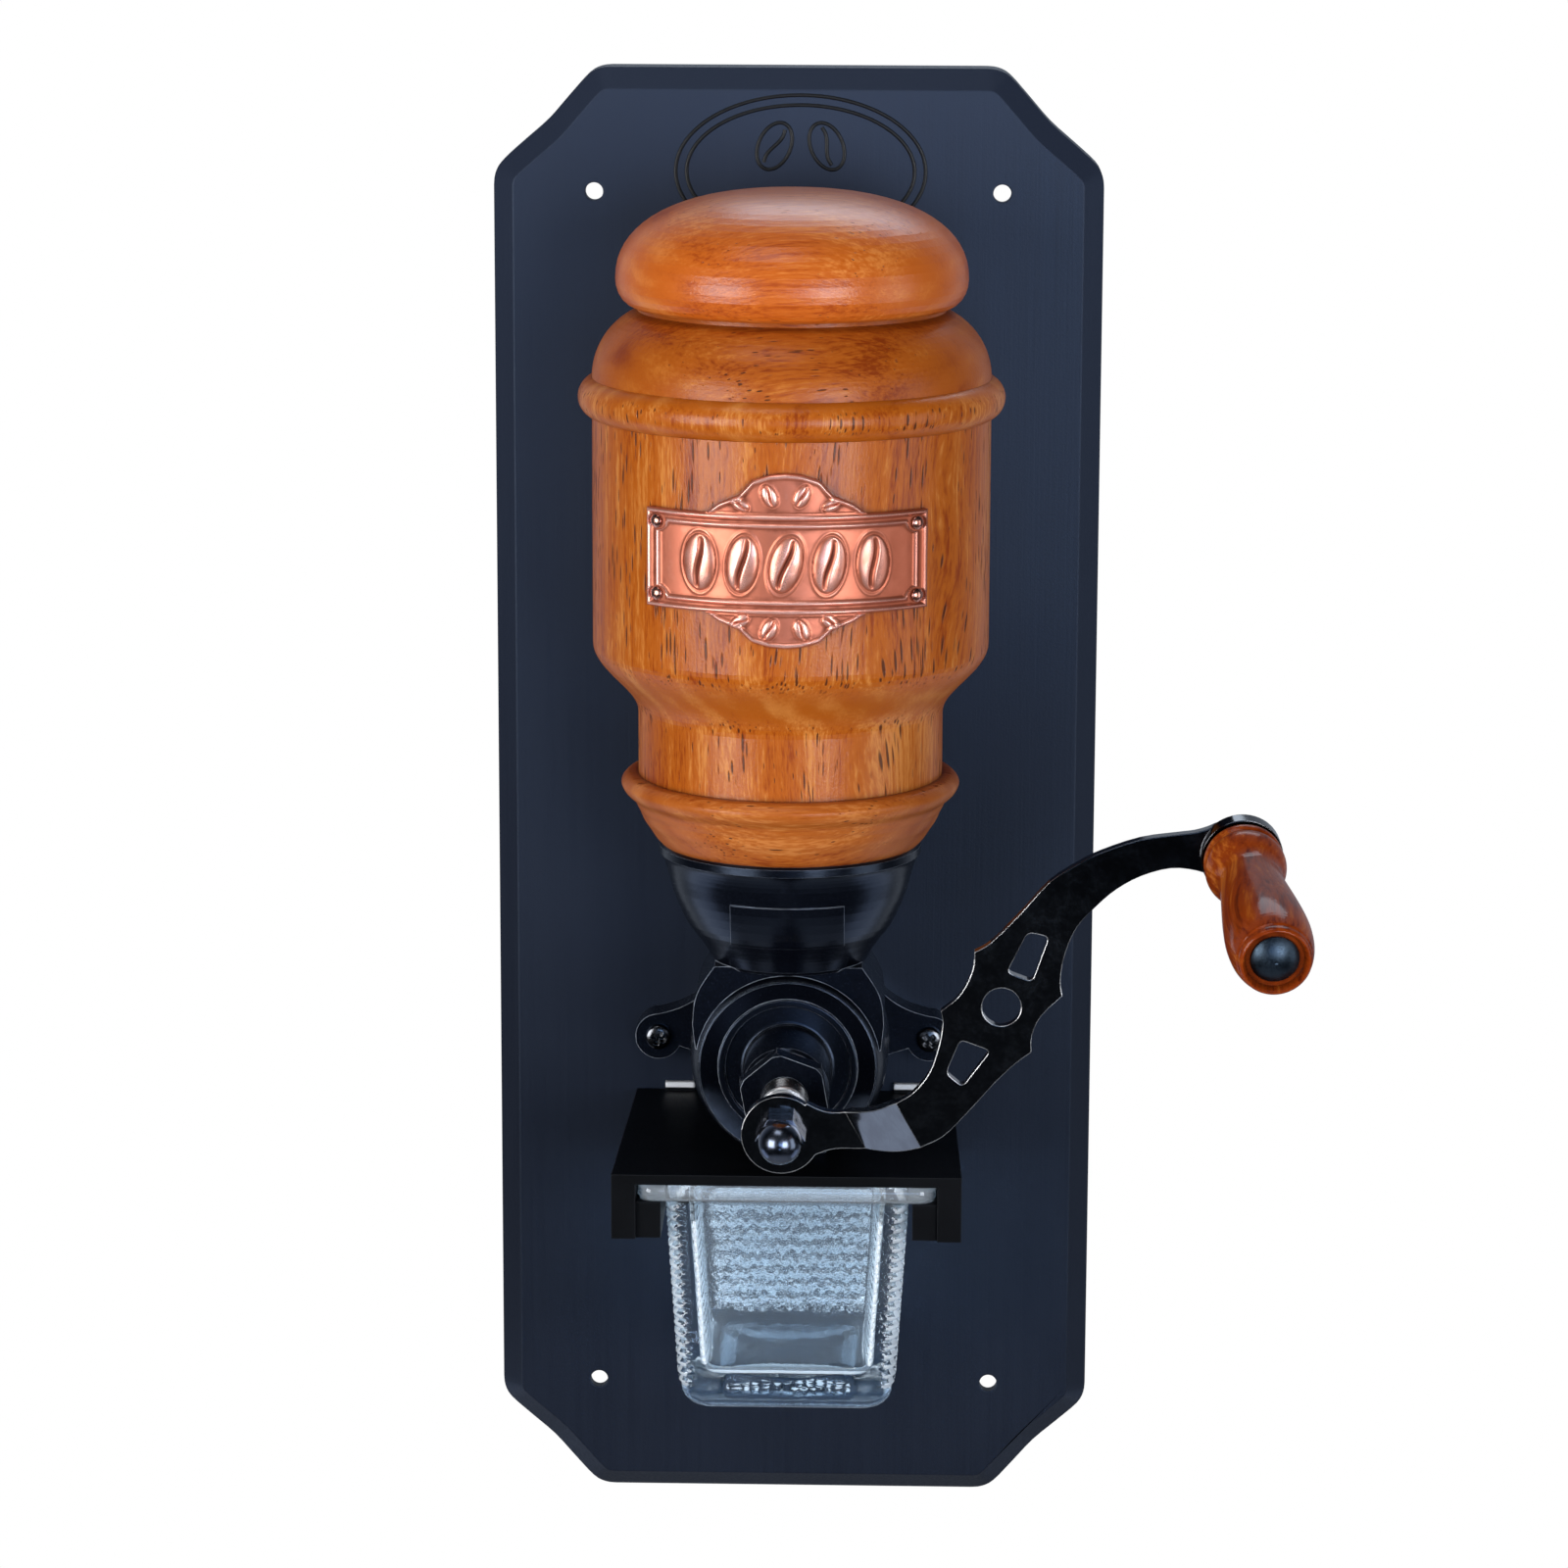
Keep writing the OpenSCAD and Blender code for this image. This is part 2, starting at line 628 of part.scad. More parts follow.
module drawer_housing() color(iron_black) difference() {
    union() {
        translate([0, -board_t, housing_top - housing_h]) linear_extrude(housing_h)
            polygon([[-housing_w_back / 2, 0], [-housing_w_front / 2, -housing_l],
                [housing_w_front / 2, -housing_l], [housing_w_back / 2, 0]]);
        for (s = [-1, 1]) depth_box(s * tab_x - tab_w / 2, s * tab_x + tab_w / 2, 0, tab_t,
            housing_top - eps, housing_top + tab_h);
    }
    depth_box(-housing_in / 2, housing_in / 2, housing_wall, housing_l + eps,
        housing_top - housing_h - eps, housing_top - housing_wall);
    depth_box(-outlet_w / 2 - spout_wall - spout_gap, outlet_w / 2 + spout_wall + spout_gap,
        outlet_d0 - spout_wall - spout_gap, outlet_d0 + outlet_l + spout_wall + spout_gap,
        housing_top - housing_wall - eps, housing_top + eps);
    on_board() at_housing_screws() translate([0, 0, -eps])
        cylinder(r = housing_screw_r + seat_fit, h = housing_wall + 2 * eps);
}

// Bar under one edge of the glass flange
module rail(s) depth_box(min(s * housing_in / 2, s * (housing_in / 2 - rail_w)),
    max(s * housing_in / 2, s * (housing_in / 2 - rail_w)),
    housing_wall + rail_back, housing_l - rail_front,
    housing_top - housing_h, glass_top - glass_flange_t - rail_gap);

module rail_left() color(iron_black) rail(-1);

module rail_right() color(iron_black) rail(1);

module housing_screws() color(steel) on_board() at_housing_screws() translate([0, 0, housing_wall])
    screw(housing_screw_r, housing_wall + screw_in, housing_head_r, housing_head_h);

// Outline of the base from the rim of the funnel up to the neck
function base_side() = concat(
    smooth([[funnel_r - 0.6, rim_z], [funnel_r + 0.8, rim_z + 1.5], [funnel_r + 2.3, rim_z + 3.8],
        [neck_r - 1.2, rim_z + base_h * 0.34], [neck_r - 0.3, rim_z + base_h * 0.466]]),
    smooth([[neck_r + 0.3, rim_z + base_h * 0.53], [neck_r + 1.2, rim_z + base_h * 0.63],
        [neck_r + 3.2, rim_z + base_h * 0.74], [neck_r + 4.1, rim_z + base_h * 0.845],
        [neck_r + 3.7, rim_z + base_h * 0.92], [neck_r + 2.4, rim_z + base_h * 0.985],
        [neck_r + 0.7, base_top]]));

module jar_base() color(oak) difference() {
    on_jar() rotate_extrude() polygon(concat(
        [[floor_r, rim_z - plug_h], [plug_r, rim_z - plug_h], [plug_r, rim_z]], base_side(),
        [[neck_bore - seat_fit, base_top], [neck_bore - seat_fit, base_top + spigot_h],
            [base_bore, base_top + spigot_h], [base_bore, rim_z + base_floor + base_chamfer],
            [base_bore - base_chamfer, rim_z + base_floor], [floor_r, rim_z + base_floor]]));
    at_jar_screws() translate([0, 0, -jar_screw_l])
        cylinder(r = jar_screw_r + seat_fit, h = jar_screw_l + eps);
}

module jar_screws() color(steel) at_jar_screws()
    screw(jar_screw_r, jar_screw_l, jar_head_r, jar_head_h);

// Outline of the curve between the neck and the body
function ogee_side() = [for (i = [0 : 16])
    [neck_r + (jar_r - neck_r) * (1 - cos(i * 180 / 16)) / 2, ogee_z + ogee_h * i / 16]];

module jar_body() color(oak) difference() {
    on_jar() rotate_extrude() difference() {
        union() {
            polygon(concat([[neck_bore, base_top], [neck_r, base_top]], ogee_side(),
                [[jar_r, shoulder_z], [jar_bore, shoulder_z], [jar_bore, body_z], [neck_bore, ogee_z]]));
            translate([jar_r - bead_sink, bead_z + bead_h / 2]) circle(r = bead_round, $fn = 48);
        }
        translate([0, shoulder_z]) square([jar_r * 2, bead_h]);
        translate([0, body_z]) square([jar_bore, shoulder_z - body_z + eps]);
    }
    at_plaque_pins() translate([0, 0, jar_r - jar_wall + pin_hole_in])
        cylinder(r = pin_shank_r + seat_fit, h = jar_wall);
}

// Outline of the shoulder, from the body up to the lid's seat
function shoulder_side() = let (rise = shoulder_h * 0.95, wide = jar_r - lid_seat_r) [for (i = [0 : 14])
    let (t = i / 14) [lid_seat_r + wide * (1.62 * sqrt(1 - 0.855 * t * t) - 0.62), shoulder_z + rise * t]];

module jar_shoulder() color(oak) on_jar() rotate_extrude() polygon(concat(
    [[jar_bore - seat_fit, shoulder_z]], shoulder_side(),
    [[lid_seat_r, lid_z], [mouth_r, lid_z], [mouth_r, shoulder_z - spigot_h],
        [jar_bore - seat_fit, shoulder_z - spigot_h]]));

// Places on the hopper's curve, from an angle to the side and a height
module at_plaque(angle, z) translate([0, -board_t - jar_d, z]) rotate([90, 0, angle]) children();

module at_plaque_pins() for (s = [-1, 1], t = [-1, 1])
    at_plaque(s * (plaque_w / 2 - pin_inset) / jar_r * 180 / PI, plaque_z + t * (plaque_h / 2 - pin_inset))
        children();

// Flat width of a length that is wrapped round the hopper
function wrapped(s) = (jar_r + plaque_t) * sin(s / jar_r * 180 / PI);

// Panel with notched corners and a rounded crest above and below, seen from the front
module plaque_outline(less = 0) {
    x = wrapped(plaque_w / 2) - less;
    c = crest_w / 2 - less;
    y = plaque_h / 2 - less;
    square([2 * x, 2 * y], center = true);
    polygon(concat([[-c, 0]], smooth([[-c, y - eps], [-c * 0.83, y + crest_h * 0.3],
        [-c * 0.6, y + crest_h * 0.42], [-c * 0.42, y + crest_h * 0.82], [0, y + crest_h],
        [c * 0.42, y + crest_h * 0.82], [c * 0.6, y + crest_h * 0.42], [c * 0.83, y + crest_h * 0.3],
        [c, y - eps]]), [[c, 0]]));
    mirror([0, 1]) polygon(concat([[-c, 0]], smooth([[-c, y - eps], [-c * 0.83, y + lower_crest_h * 0.3],
        [-c * 0.6, y + lower_crest_h * 0.42], [-c * 0.42, y + lower_crest_h * 0.82], [0, y + lower_crest_h],
        [c * 0.42, y + lower_crest_h * 0.82], [c * 0.6, y + lower_crest_h * 0.42],
        [c * 0.83, y + lower_crest_h * 0.3], [c, y - eps]]), [[c, 0]]));
}

// Coffee bean seen from the front, with its cleft
module bean() difference() {
    lean = bean_w * 0.5;
    intersection() {
        translate([-lean, 0]) circle(r = bean_h * 0.65, $fn = 40);
        translate([lean, 0]) circle(r = bean_h * 0.65, $fn = 40);
        circle(r = bean_h / 2, $fn = 40);
    }
    square([cleft_w, bean_h], center = true);
}

// Ring of the hopper's curve between two radii, ahead of the axis only
module front_shell(r0, r1) intersection() {
    on_jar() translate([0, 0, plaque_z - shell_h / 2]) difference() {
        cylinder(r = r1, h = shell_h);
        translate([0, 0, -eps]) cylinder(r = r0, h = shell_h + 2 * eps);
    }
    children();
}

module plaque_prism() translate([0, -board_t - jar_d, plaque_z]) rotate([90, 0, 0])
    linear_extrude(jar_r * 2) children();

module jar_plaque() color(copper) difference() {
    union() {
        front_shell(jar_r + seat_fit, jar_r + plaque_t) plaque_prism() plaque_outline();
        front_shell(jar_r + plaque_t - 0.2, jar_r + plaque_t + relief_t) plaque_prism() {
            difference() {
                square([2 * wrapped(plaque_w / 2), plaque_h], center = true);
                square([2 * wrapped(plaque_w / 2 - border_w), plaque_h - 2 * border_w], center = true);
            }
            for (i = [-2 : 2]) translate([wrapped(i * bean_w * 1.25), 0]) bean();
        }
    }
    at_plaque_pins() cylinder(r = pin_shank_r + seat_fit, h = jar_r * 2);
}

module plaque_pins() color(copper) at_plaque_pins() {
    translate([0, 0, jar_r - jar_wall + pin_hole_in + plaque_t / 4])
        cylinder(r = pin_shank_r, h = jar_wall + plaque_t + relief_t - pin_hole_in);
    translate([0, 0, jar_r + plaque_t + relief_t]) intersection() {
        cylinder(r = pin_head_r, h = pin_head_h);
        translate([0, 0, pin_head_h - pin_head_r * 1.4]) sphere(r = pin_head_r * 1.4);
    }
}

// Outline of the lid, from its seat round the belly to the middle of the top
function lid_side() = concat(
    [for (i = [0 : 6]) let (a = i * 15)
        [lid_seat_r + lid_lip * sin(a), lid_z + lid_belly * (1 - cos(a))]],
    [for (i = [1 : 18]) let (a = i * 5)
        [lid_r * pow(cos(a), 0.82), lid_z + lid_belly + (lid_h - lid_belly) * pow(sin(a), 0.9)]]);

module jar_lid() color(oak) on_jar() rotate_extrude() polygon(concat(
    [[0, lid_z - lid_plug_h], [mouth_r - slip_fit - lid_chamfer, lid_z - lid_plug_h],
        [mouth_r - slip_fit, lid_z - lid_plug_h + lid_chamfer], [mouth_r - slip_fit, lid_z]],
    lid_side()));

module spring_seat() color(steel) difference() {
    axle_rod(seat_d, seat_d + seat_t, seat_r);
    axle_rod(seat_d - eps, seat_d + seat_t + eps, shaft_r + run_fit);
}

module drive_shaft() color(steel) difference() {
    union() {
        axle_rod(journal_d0, journal_d1 + eps, journal_r);
        axle_rod(journal_d1, stub_d1, shaft_r);
        on_axle(stub_d1 - eps) linear_extrude(square_d1 - stub_d1 + eps) square(square_w, center = true);
        axle_rod(square_d1 - eps, tip_d1, tip_r);
    }
    on_axle(pin_d) translate([0, -shaft_r * 2, 0]) rotate([-90, 0, 0])
        cylinder(r = pin_r + seat_fit, h = shaft_r * 4);
}

module inner_burr() color(steel) difference() {
    on_axle(cone_d0) cylinder(h = cone_d1 - cone_d0, r1 = cone_r0, r2 = cone_r1);
    axle_rod(cone_d0 - eps, cone_d1 + eps, shaft_r + seat_fit);
    on_axle(pin_d) translate([0, -cone_r0 * 2, 0]) rotate([-90, 0, 0])
        cylinder(r = pin_r + seat_fit, h = cone_r0 * 4);
    on_axle(cone_d0 + 2 * pin_in) for (i = [0 : coarse_teeth - 1]) rotate(i * 360 / coarse_teeth)
        translate([cone_at(cone_d0 + 2 * pin_in), 0, 0]) rotate([tooth_skew, -tooth_lean, 0])
            translate([-coarse_tooth_h * 0.35, -coarse_tooth_w / 2, 0])
                cube([coarse_tooth_h, coarse_tooth_w, cone_d1 - cone_d0]);
}

module burr_pin() color(steel) on_axle(pin_d) translate([0, -cone_r0 + pin_short, 0])
    rotate([-90, 0, 0]) cylinder(r = pin_r, h = 2 * (cone_r0 - pin_short));

module feed_worm() color(steel) on_axle(cone_d1)
    linear_extrude(worm_l, twist = 360 * worm_turns, slices = 30, $fn = 22) difference() {
        translate([worm_throw, 0]) circle(r = worm_r);
        circle(r = shaft_r + slip_fit);
    }

// Upper and lower edges of the crank's strip, from the hub to the eye, in fractions of the crank's length
crank_edges = [
    smooth([[0.047, 0.061], [0.082, 0.046], [0.122, 0.046], [0.172, 0.064], [0.209, 0.09], [0.242, 0.111],
        [0.272, 0.149], [0.289, 0.199], [0.296, 0.244], [0.292, 0.266]], 3),
    smooth([[0.292, 0.266], [0.323, 0.292], [0.342, 0.324], [0.351, 0.354], [0.352, 0.377]], 3),
    smooth([[0.352, 0.377], [0.381, 0.394], [0.436, 0.451], [0.486, 0.508], [0.538, 0.543], [0.579, 0.564],
        [0.648, 0.588], [0.715, 0.598], [0.745, 0.602], [0.769, 0.609], [0.788, 0.617], [0.805, 0.615]], 3),
    smooth([[0.79, 0.518], [0.75, 0.532], [0.703, 0.536], [0.65, 0.521], [0.606, 0.496], [0.571, 0.465],
        [0.536, 0.425], [0.515, 0.373], [0.508, 0.326], [0.512, 0.297]], 3),
    smooth([[0.512, 0.297], [0.474, 0.259], [0.458, 0.223], [0.457, 0.191]], 3),
    smooth([[0.457, 0.191], [0.427, 0.168], [0.39, 0.131], [0.34, 0.073], [0.299, 0.031], [0.261, 0.011],
        [0.229, -0.007], [0.192, -0.019], [0.148, -0.024], [0.111, -0.024], [0.083, -0.029],
        [0.047, -0.045]], 3)];
crank_windows = [
    [[0.448, 0.415], [0.486, 0.407], [0.457, 0.323], [0.411, 0.34]],
    [[0.328, 0.213], [0.383, 0.193], [0.333, 0.125], [0.303, 0.15]]];
window_round = 0.011;
crank_hole = [0.402, 0.275, 0.0355];

// Corner number i of a loop of points, rounded from a distance before it to the same distance after it
function soft_corner(loop, i, reach) =
    let (n = len(loop), p = loop[i], a = loop[(i + n - 1) % n] - p, b = loop[(i + 1) % n] - p,
        from = p + a * reach / norm(a), to = p + b * reach / norm(b))
    [for (t = [0:0.25:1]) from * (1 - t) * (1 - t) + p * 2 * t * (1 - t) + to * t * t];

function soft_loop(loop, reach) = [for (i = [0:len(loop) - 1]) each soft_corner(loop, i, reach)];

module crank_outline() difference() {
    union() {
        circle(r = hub_r);
        translate([knob_x, knob_y]) circle(r = eye_r - eye_step);
        polygon(crank_len * concat([[0, 0]], [for (edge = crank_edges) each edge]));
    }
    for (w = crank_windows) polygon(crank_len * soft_loop(w, window_round));
    translate(crank_len * [crank_hole.x, crank_hole.y]) circle(r = crank_len * crank_hole.z);
}

// The strip seen along its bend lines: hub, step outwards, arm
module crank_bends() {
    far = crank_len * 2;
    lead = arm_t * tan(22.5);
    polygon([[-far, 0], [bend_u + lead, 0], [bend_u + joggle + lead, joggle], [far, joggle],
        [far, joggle + arm_t], [bend_u + joggle, joggle + arm_t], [bend_u, arm_t], [-far, arm_t]]);
}

module crank_arm() color(iron_black) difference() {
    union() {
        on_axle(stub_d1) intersection() {
            linear_extrude(joggle + arm_t) crank_outline();
            rotate([90, 0, bend_angle]) translate([0, 0, -crank_len]) linear_extrude(2 * crank_len)
                crank_bends();
        }
        on_knob() translate([0, 0, -eye_t]) cylinder(r = eye_r, h = eye_t);
    }
    on_axle(stub_d1 - eps) linear_extrude(arm_t + 2 * eps) square(square_w + 2 * seat_fit, center = true);
    on_knob() translate([0, 0, -eye_t * 3]) cylinder(r = spindle_r + seat_fit, h = eye_t * 4);
    on_knob() cylinder(r = eye_r, h = eye_t);
}

module cap_nut() color(steel) difference() {
    on_axle(square_d1) {
        cylinder(d = cap_af / cos(30), h = cap_hex_h, $fn = 6);
        cylinder(r = cap_r, h = cap_dome);
        translate([0, 0, cap_dome]) sphere(r = cap_r);
    }
    axle_rod(square_d1 - eps, tip_d1 + eps, tip_r + seat_fit);
    axle_rod(square_d1 - 2 * cap_r, square_d1, 2 * cap_r);
}

module knob_spindle() color(steel) on_knob() {
    translate([0, 0, -eye_t])
        cylinder(r = spindle_r, h = eye_t + knob_washer_t + knob_l - recess_h + 2 * rivet_gap);
    translate([0, 0, knob_washer_t + knob_l - recess_h + rivet_gap]) intersection() {
        cylinder(r = rivet_r, h = rivet_h);
        translate([0, 0, rivet_h - rivet_r * 1.5]) sphere(r = rivet_r * 1.5);
    }
}

module knob_washer() color(steel) on_knob() difference() {
    cylinder(r = washer_r, h = knob_washer_t);
    translate([0, 0, -eps]) cylinder(r = spindle_r + seat_fit, h = knob_washer_t + 2 * eps);
}

// Outline of the knob, from the crank to the front
function knob_side() = smooth([[knob_r * 0.93, 0.2], [knob_r * 0.95, 1], [knob_r * 0.935, 1.8],
    [knob_r * 0.89, 2.5], [knob_r * 0.93, 3.3], [knob_r * 0.965, 4.6], [knob_r * 0.955, 6.2],
    [knob_r * 0.89, 8.2], [knob_r * 0.8, 10.2], [knob_r * 0.75, 12.4], [knob_r * 0.755, 15],
    [knob_r * 0.82, knob_l * 0.4], [knob_r * 0.92, knob_l * 0.57], [knob_r * 0.985, knob_l * 0.71],
    [knob_r, knob_l * 0.8], [knob_r * 0.97, knob_l * 0.89], [knob_r * 0.9, knob_l - 2.5],
    [knob_r * 0.855, knob_l - 1.7], [knob_r * 0.85, knob_l - 1.1], [knob_r * 0.835, knob_l - 0.5],
    [knob_r * 0.79, knob_l - 0.05], [knob_r * 0.76, knob_l]]);

module knob_grip() color(cherry) on_knob() translate([0, 0, knob_washer_t]) rotate_extrude()
    polygon(concat([[spindle_r + run_fit, 0], [knob_r * 0.88, 0]], knob_side(),
        [[recess_r, knob_l - recess_edge], [recess_r - recess_edge, knob_l - recess_h],
            [spindle_r + run_fit, knob_l - recess_h]]));

module thrust_washer() color(bronze) difference() {
    axle_rod(boss_d1, nut_d0, boss_r - 0.9);
    axle_rod(boss_d1 - eps, nut_d0 + eps, shaft_r + run_fit);
}

module adjusting_nut() color(iron_black) difference() {
    on_axle(nut_d0) rotate(nut_turn) intersection() {
        cylinder(d = nut_af / cos(30), h = nut_t, $fn = 6);
        cylinder(r1 = nut_af * 0.65, r2 = nut_af * 0.545, h = nut_t);
    }
    axle_rod(nut_d0 - eps, nut_d0 + nut_t + eps, shaft_r + run_fit);
}

// Block with rounded upright edges and a rounded foot, drawn in by g and tapering downwards
module glass_block(g, top, foot, r) hull() {
    x = glass_body_w / 2 - g - r;
    y0 = -board_t - glass_body_d0 - g - r;
    y1 = -board_t - glass_body_d1 + g + r;
    in = glass_taper / 2 * (glass_top - foot) / glass_h;
    for (s = [-1, 1], y = [y0, y1]) {
        translate([s * x, y, top - 1]) cylinder(r = r, h = 1, $fn = 24);
        translate([s * (x - in), y + (y == y0 ? -in : in), foot + r]) sphere(r = r, $fn = 24);
    }
}

module glass_flange() hull() for (s = [-1, 1], d = [glass_d0, glass_d1])
    translate([s * (glass_w / 2 - flange_round), -board_t - d + (d == glass_d0 ? -1 : 1) * flange_round,
        glass_top - glass_flange_t])
        cylinder(r = flange_round, h = glass_flange_t, $fn = 24);

module glass_drawer() color(glass) difference() {
    union() {
        glass_flange();
        glass_block(0, glass_top - 1, glass_top - glass_h, glass_round);
    }
    glass_block(glass_wall, glass_top + eps, glass_top - glass_h + glass_floor, glass_round - 1);
}

backboard();
mill_body();
body_screws();
rear_plate();
rear_plate_screws();
rear_bush();
front_bush();
outer_burr();
disc_spring();
drawer_housing();
rail_left();
rail_right();
housing_screws();
jar_base();
jar_screws();
jar_body();
jar_shoulder();
jar_plaque();
plaque_pins();
jar_lid();
spring_seat();
drive_shaft();
inner_burr();
burr_pin();
feed_worm();
crank_arm();
cap_nut();
knob_spindle();
knob_washer();
knob_grip();
thrust_washer();
adjusting_nut();
glass_drawer();
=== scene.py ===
"""Looks of the wall mounted coffee mill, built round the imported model. Sizes are in mm unless said."""

import math

import bmesh
import bpy
import numpy as np
from mathutils import Euler, Matrix, Vector


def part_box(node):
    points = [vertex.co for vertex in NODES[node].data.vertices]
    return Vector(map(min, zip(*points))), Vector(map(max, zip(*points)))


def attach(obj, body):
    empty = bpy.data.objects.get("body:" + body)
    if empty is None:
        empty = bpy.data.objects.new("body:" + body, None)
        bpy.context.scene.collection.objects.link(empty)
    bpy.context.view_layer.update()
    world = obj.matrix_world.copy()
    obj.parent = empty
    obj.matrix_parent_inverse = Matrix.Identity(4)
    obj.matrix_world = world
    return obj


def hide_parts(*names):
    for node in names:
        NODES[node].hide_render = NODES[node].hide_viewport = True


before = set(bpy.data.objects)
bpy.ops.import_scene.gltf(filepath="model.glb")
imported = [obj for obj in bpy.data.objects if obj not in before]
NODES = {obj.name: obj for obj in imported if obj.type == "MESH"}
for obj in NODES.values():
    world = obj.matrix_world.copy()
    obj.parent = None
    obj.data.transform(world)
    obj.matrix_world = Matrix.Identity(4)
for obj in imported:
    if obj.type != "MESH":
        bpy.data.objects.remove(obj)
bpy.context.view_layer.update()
MM = 0.001

# The photograph's camera, fitted to the model, with angles in degrees
PHOTO_PX = 1600
FOCAL_PX = 5213.7
SENSOR_WIDTH = 36
CAMERA_AT = (30.94, -1268.27, 271.61)
CAMERA_YAW = -1.549
CAMERA_PITCH = 12.031
CAMERA_ROLL = 0.192
NEAR_CLIP = 20


def box_of(node):
    """Lowest and highest corner of a solid."""
    return [np.array(corner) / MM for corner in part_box(node)]


# Places taken from the solids. The raised panel's foot is PANEL_DROP below the funnel's rim.
BOARD_LOW, BOARD_HIGH = box_of("backboard")
BOARD_FRONT = BOARD_LOW[1]
JAR_LOW, JAR_HIGH = box_of("jar_shoulder")
JAR_Y = (JAR_LOW[1] + JAR_HIGH[1]) / 2
JAR_R = (JAR_HIGH[0] - JAR_LOW[0]) / 2
SHAFT_LOW, SHAFT_HIGH = box_of("drive_shaft")
AXLE_Z = (SHAFT_LOW[2] + SHAFT_HIGH[2]) / 2
TAB_TOP = box_of("drawer_housing")[1][2]
PANEL_DROP = 21.5
PANEL_FOOT = box_of("mill_body")[1][2] - PANEL_DROP


# Shaders

EDGE_SAMPLES = 6
EDGE_SPAN = (0.985, 0.86)


class Nodes:
    """A node tree that is being put together."""

    def __init__(self, tree):
        self.tree = tree

    def add(self, kind, inputs=None, **settings):
        """A new node with its settings and inputs, where an input is a value or another node's output."""
        made = self.tree.nodes.new("ShaderNode" + kind)
        for key, value in settings.items():
            setattr(made, key, value)
        for key, value in (inputs or {}).items():
            self.join(made.inputs[key], value)
        return made

    def join(self, socket, value):
        """Links an input to another node's output, or sets its value."""
        if isinstance(value, bpy.types.NodeSocket):
            self.tree.links.new(value, socket)
        else:
            socket.default_value = value

    def math(self, operation, a, b=0.0):
        return self.add("Math", {0: a, 1: b}, operation=operation).outputs[0]

    def parts(self, vector):
        """The X, Y and Z of a vector."""
        return self.add("SeparateXYZ", {0: vector}).outputs

    def span(self, value, low, high, out_low=0.0, out_high=1.0):
        """A smooth step from out_low to out_high as the value goes from low to high."""
        inputs = {"Value": value, "From Min": low, "From Max": high, "To Min": out_low, "To Max": out_high}
        return self.add("MapRange", inputs, interpolation_type="SMOOTHSTEP").outputs["Result"]

    def blend(self, factor, a, b):
        """Colour a where the factor is 0 and b where it is 1."""
        made = self.add("Mix", data_type="RGBA")
        for socket, value in ((0, factor), (6, a), (7, b)):
            colour = isinstance(value, tuple)
            self.join(made.inputs[socket], (*value, 1) if colour else value)
        return made.outputs[2]


class Shader(Nodes):
    """A material that is being put together. Its textures work in millimetres."""

    def __init__(self, name):
        self.material = bpy.data.materials.new(name)
        self.material.use_nodes = True
        super().__init__(self.material.node_tree)
        self.surface = self.tree.nodes["Principled BSDF"]

    def set(self, **values):
        """Inputs of the surface shader, by name with _ for a space."""
        for key, value in values.items():
            self.join(self.surface.inputs[key.replace("_", " ")], value)
        return self.material

    def place(self):
        """The point's place on its own object."""
        where = self.add("TexCoord").outputs["Object"]
        return self.vector("SCALE", where, scale=1 / MM)

    def vector(self, operation, a, b=None, scale=None):
        inputs = {0: a}
        if b is not None:
            inputs[1] = b
        if scale is not None:
            inputs["Scale"] = scale
        made = self.add("VectorMath", inputs, operation=operation)
        return made.outputs["Value" if operation in ("LENGTH", "DOT_PRODUCT") else "Vector"]

    def total(self, *terms):
        """The sum of values, each times its weight."""
        result = 0.0
        for value, weight in terms:
            result = self.add("Math", {0: value, 1: weight, 2: result}, operation="MULTIPLY_ADD").outputs[0]
        return result

    def noise(self, vector, scale=1.0, detail=2.0, roughness=0.5):
        inputs = {"Vector": vector, "Scale": scale, "Detail": detail, "Roughness": roughness}
        return self.add("TexNoise", inputs).outputs["Fac"]

    def cells(self, vector):
        """Distance from the nearest of many scattered points, one per unit on average."""
        return self.add("TexVoronoi", {"Vector": vector, "Scale": 1.0}).outputs["Distance"]

    def blend_normals(self, factor, a, b):
        """Direction a where the factor is 0 and b where it is 1."""
        return self.add("Mix", {0: factor, 4: a, 5: b}, data_type="VECTOR").outputs[1]

    def ramp(self, value, low, high, dark, middle, light):
        """A colour that goes from dark by a middle one to light as the value goes from low to high."""
        half = (low + high) / 2
        lower = self.blend(self.span(value, low, half), dark, middle)
        return self.blend(self.span(value, half, high), lower, light)

    def bump(self, height, depth, strength=1.0, normal=None):
        """A normal from a height of 0 to 1 that stands for a depth."""
        inputs = {"Height": height, "Distance": depth * MM, "Strength": strength}
        if normal is not None:
            inputs["Normal"] = normal
        return self.add("Bump", inputs).outputs["Normal"]

    def rounded(self, radius):
        """The surface's direction with its edges rounded, and 1 on those edges."""
        soft = self.add("Bevel", {"Radius": radius * MM}, samples=EDGE_SAMPLES).outputs["Normal"]
        flat = self.add("NewGeometry").outputs["Normal"]
        return soft, self.span(self.vector("DOT_PRODUCT", soft, flat), *EDGE_SPAN)

    def nook(self, reach):
        """1 in the open and less in crevices of a width."""
        return self.add("AmbientOcclusion", {"Distance": reach * MM}, samples=EDGE_SAMPLES).outputs["AO"]

    def pass_lamps(self, tint):
        """Lets the lamps shine through glass."""
        clear = self.add("BsdfTransparent", {"Color": (*tint, 1)}).outputs[0]
        shadow = self.add("LightPath").outputs["Is Shadow Ray"]
        either = self.add("MixShader", {0: shadow, 1: self.surface.outputs[0], 2: clear}).outputs[0]
        self.join(self.tree.nodes["Material Output"].inputs["Surface"], either)


